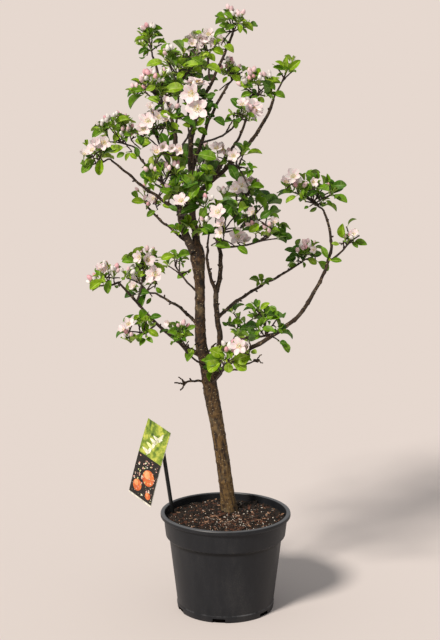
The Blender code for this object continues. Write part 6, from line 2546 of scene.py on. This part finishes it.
    def make_wood(self, names: tuple[str, ...]) -> None:
        """Makes the stems, shoots and spurs in dark bark, and the green stalks.

        Args:
            names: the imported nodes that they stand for.
        """
        parts = []
        for length in sorted({len(path) for path, _ in self.wood}):
            paths, radii = zip(*(entry for entry in self.wood if len(entry[0]) == length))
            parts.append(tubes(np.array(paths), np.array(radii), self.twig_sides))
        spurs = np.array(self.spur_paths)
        radii = np.tile(np.array([2.0, 1.7, 1.6, 2.1, 1.0]) * MM, (len(spurs), 1))
        parts.append(tubes(spurs, radii, self.twig_sides))
        # One-year apple wood: thin, smooth and nearly black-brown, with swollen nodes
        browns = ((0.3, "#190f08"), (0.75, "#4b3525"), (0.5, "#2c1c12"))
        twig = Mottled("young_apple_twig_bark", browns, 4 * MM, 0.62, 0.4)
        make_piece("twig_wood", joined(parts), [twig.material()], names)
        radii = np.tile(np.array([1.2, 1.0, 0.95, 1.0, 1.3]) * MM, (len(self.stalks), 1))
        green = LivingTissue("green_flower_stalk", "#74893c", 0.5)
        stalks = tubes(np.array(self.stalks), radii, self.stalk_sides)
        make_piece("green_stalks", stalks, [green.material()], names)

    def make_leaves(self, names: tuple[str, ...]) -> None:
        """Makes the leaves, one piece for each tone.

        Args:
            names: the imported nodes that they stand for.
        """
        forms = self.forms()
        for tone, entries in self.leaves.items():
            face, under, rib = tone.value
            word = tone.name.lower()
            # Apple leaf: waxy and bright above, downy and paler below, with a pale rib
            finishes = [LivingTissue("%s_leaf_face" % word, face, 0.42, 1.4 * MM, 0.3).material(),
                        LivingTissue("%s_leaf_underside" % word, under, 0.62, 1.1 * MM, 0.3, 0.1).material(),
                        LivingTissue("%s_leaf_rib" % word, rib, 0.45).material()]
            leaves = self.collect(entries, forms)
            make_piece("leaves_%s" % word, leaves, finishes, names, sharp=60)
            LOG.info("leaves_%s: %d leaves", word, len(entries))

    def make_blossom(self, names: tuple[str, ...]) -> None:
        """Makes the petals, stamens and buds.

        Args:
            names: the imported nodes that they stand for.
        """
        rows = ((0.12, 0.08, 0.0), (0.2, 0.16, 0.03), (0.06, 0.1, -0.04))
        forms = [PetalForm(*row).shape() for row in rows]
        # Apple petal: thin and satiny, white with a breath of pink, rosier on its back
        face = LivingTissue("white_petal_face", "#e6e1e0", 0.55, 1.6 * MM, 0.15, 0.15, vary=0.03)
        back = LivingTissue("blush_petal_back", "#ead6da", 0.6, 1.6 * MM, 0.15, 0.15, vary=0.05)
        finishes = [face.material(), back.material()]
        make_piece("petals", self.collect(self.petals, forms), finishes, names, sharp=60)
        parts = BloomParts()
        stamen = [LivingTissue("cream_filament", "#efe9c2", 0.6).material(),
                  LivingTissue("yellow_anther", "#e0c04a", 0.7).material(),
                  LivingTissue("green_flower_dome", "#a9b552", 0.6).material()]
        make_piece("stamens", parts.ring().copies(np.array(self.rings)), stamen, names, sharp=60)
        calyx = LivingTissue("green_calyx", "#8fa24d", 0.6).material()
        for bud, places in self.buds.items():
            word = bud.name.lower()
            petal = LivingTissue("%s_bud_petal" % word, bud.value, 0.5, 1.6 * MM, 0.15, 0.1).material()
            buds = parts.bud().copies(np.array(places))
            make_piece("buds_%s" % word, buds, [petal, calyx], names, sharp=60)


@dataclass
class Studio:
    """The plain studio: a pale floor, an even sky, one soft key light, and the photo's camera."""

    camera_place: tuple[float, float, float] = (-0.012, -2.883, 1.157)
    camera_pitch: float = math.radians(10.3)
    focal_pixels: float = 1391.0
    frame_pixels: float = 640.0
    sensor: float = 36.0
    floor_size: float = 900.0
    shown_colour: str = "#e6d8cf"
    sky_colour: str = "#f3f1ee"
    sky_strength: float = 0.4
    key_colour: str = "#fff6ea"
    key_strength: float = 3.2
    key_angle: float = math.radians(12)
    key_turn: tuple[float, float, float] = (math.radians(48), math.radians(0), math.radians(-38))

    def floor_colour(self) -> list[float]:
        """The paint that looks like the backdrop under the sky and the key light.

        A floor gives back its colour times (sky + key times cosine over pi).

        Returns:
            Linear red, green, blue and alpha.
        """
        slope = math.cos(self.key_turn[0]) / math.pi
        rows = zip(linear(self.shown_colour)[:3], linear(self.sky_colour), linear(self.key_colour))
        paint = [shown / (sky * self.sky_strength + key * self.key_strength * slope)
                 for shown, sky, key in rows]
        return [*paint, 1.0]

    def build(self) -> None:
        """Makes the floor, sky, light and camera."""
        scene = bpy.context.scene
        half = self.floor_size / 2
        mesh = bpy.data.meshes.new("studio_floor")
        corners = [(-half, -half, 0), (half, -half, 0), (half, half, 0), (-half, half, 0)]
        mesh.from_pydata(corners, [], [(0, 1, 2, 3)])
        material, tree, shader, _ = new_material("pale_floor_paint")
        feed(tree, shader,
             {"Base Color": self.floor_colour(), "Roughness": 0.9, "Specular IOR Level": 0.0})
        mesh.materials.append(material)
        floor = bpy.data.objects.new("studio_floor", mesh)
        scene.collection.objects.link(floor)
        world = bpy.data.worlds.new("even_sky")
        world.use_nodes = True
        scene.world = world
        tree = world.node_tree
        sky = tree.nodes["Background"]
        feed(tree, sky, {"Color": linear(self.sky_colour), "Strength": self.sky_strength})
        shown = add_node(tree, "Background", values={"Color": linear(self.shown_colour)})
        seen = add_node(tree, "LightPath").outputs["Is Camera Ray"]
        mixed = add_node(tree, "MixShader", links={0: seen, 1: sky.outputs[0], 2: shown.outputs[0]})
        feed(tree, tree.nodes["World Output"], links={"Surface": mixed.outputs[0]})
        sun = bpy.data.lights.new("key_light", "SUN")
        sun.energy = self.key_strength
        sun.angle = self.key_angle
        sun.color = linear(self.key_colour)[:3]
        key = bpy.data.objects.new("key_light", sun)
        key.rotation_euler = self.key_turn
        scene.collection.objects.link(key)
        lens = bpy.data.cameras.new("camera")
        lens.sensor_width = self.sensor
        lens.lens = self.focal_pixels * self.sensor / self.frame_pixels
        camera = bpy.data.objects.new("camera", lens)
        camera.location = self.camera_place
        camera.rotation_euler = (math.pi / 2 - self.camera_pitch, 0, 0)
        scene.collection.objects.link(camera)
        scene.camera = camera
        scene.view_settings.view_transform = "Standard"
        LOG.info("studio: camera at %s, lens %.2f mm", self.camera_place, lens.lens)


def main() -> None:
    """Builds the studio, pot, compost, label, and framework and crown."""
    logging.basicConfig(level=logging.INFO, format="%(name)s: %(message)s")
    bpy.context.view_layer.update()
    Studio().build()
    pot = Pot()
    pot.build()
    CompostBed(pot).build()
    PlantLabel().build()
    framework, crown = Framework(), Crown()
    framework.build(crown)
    crown.build(framework.limbs)


if __name__ == "__main__":
    main()
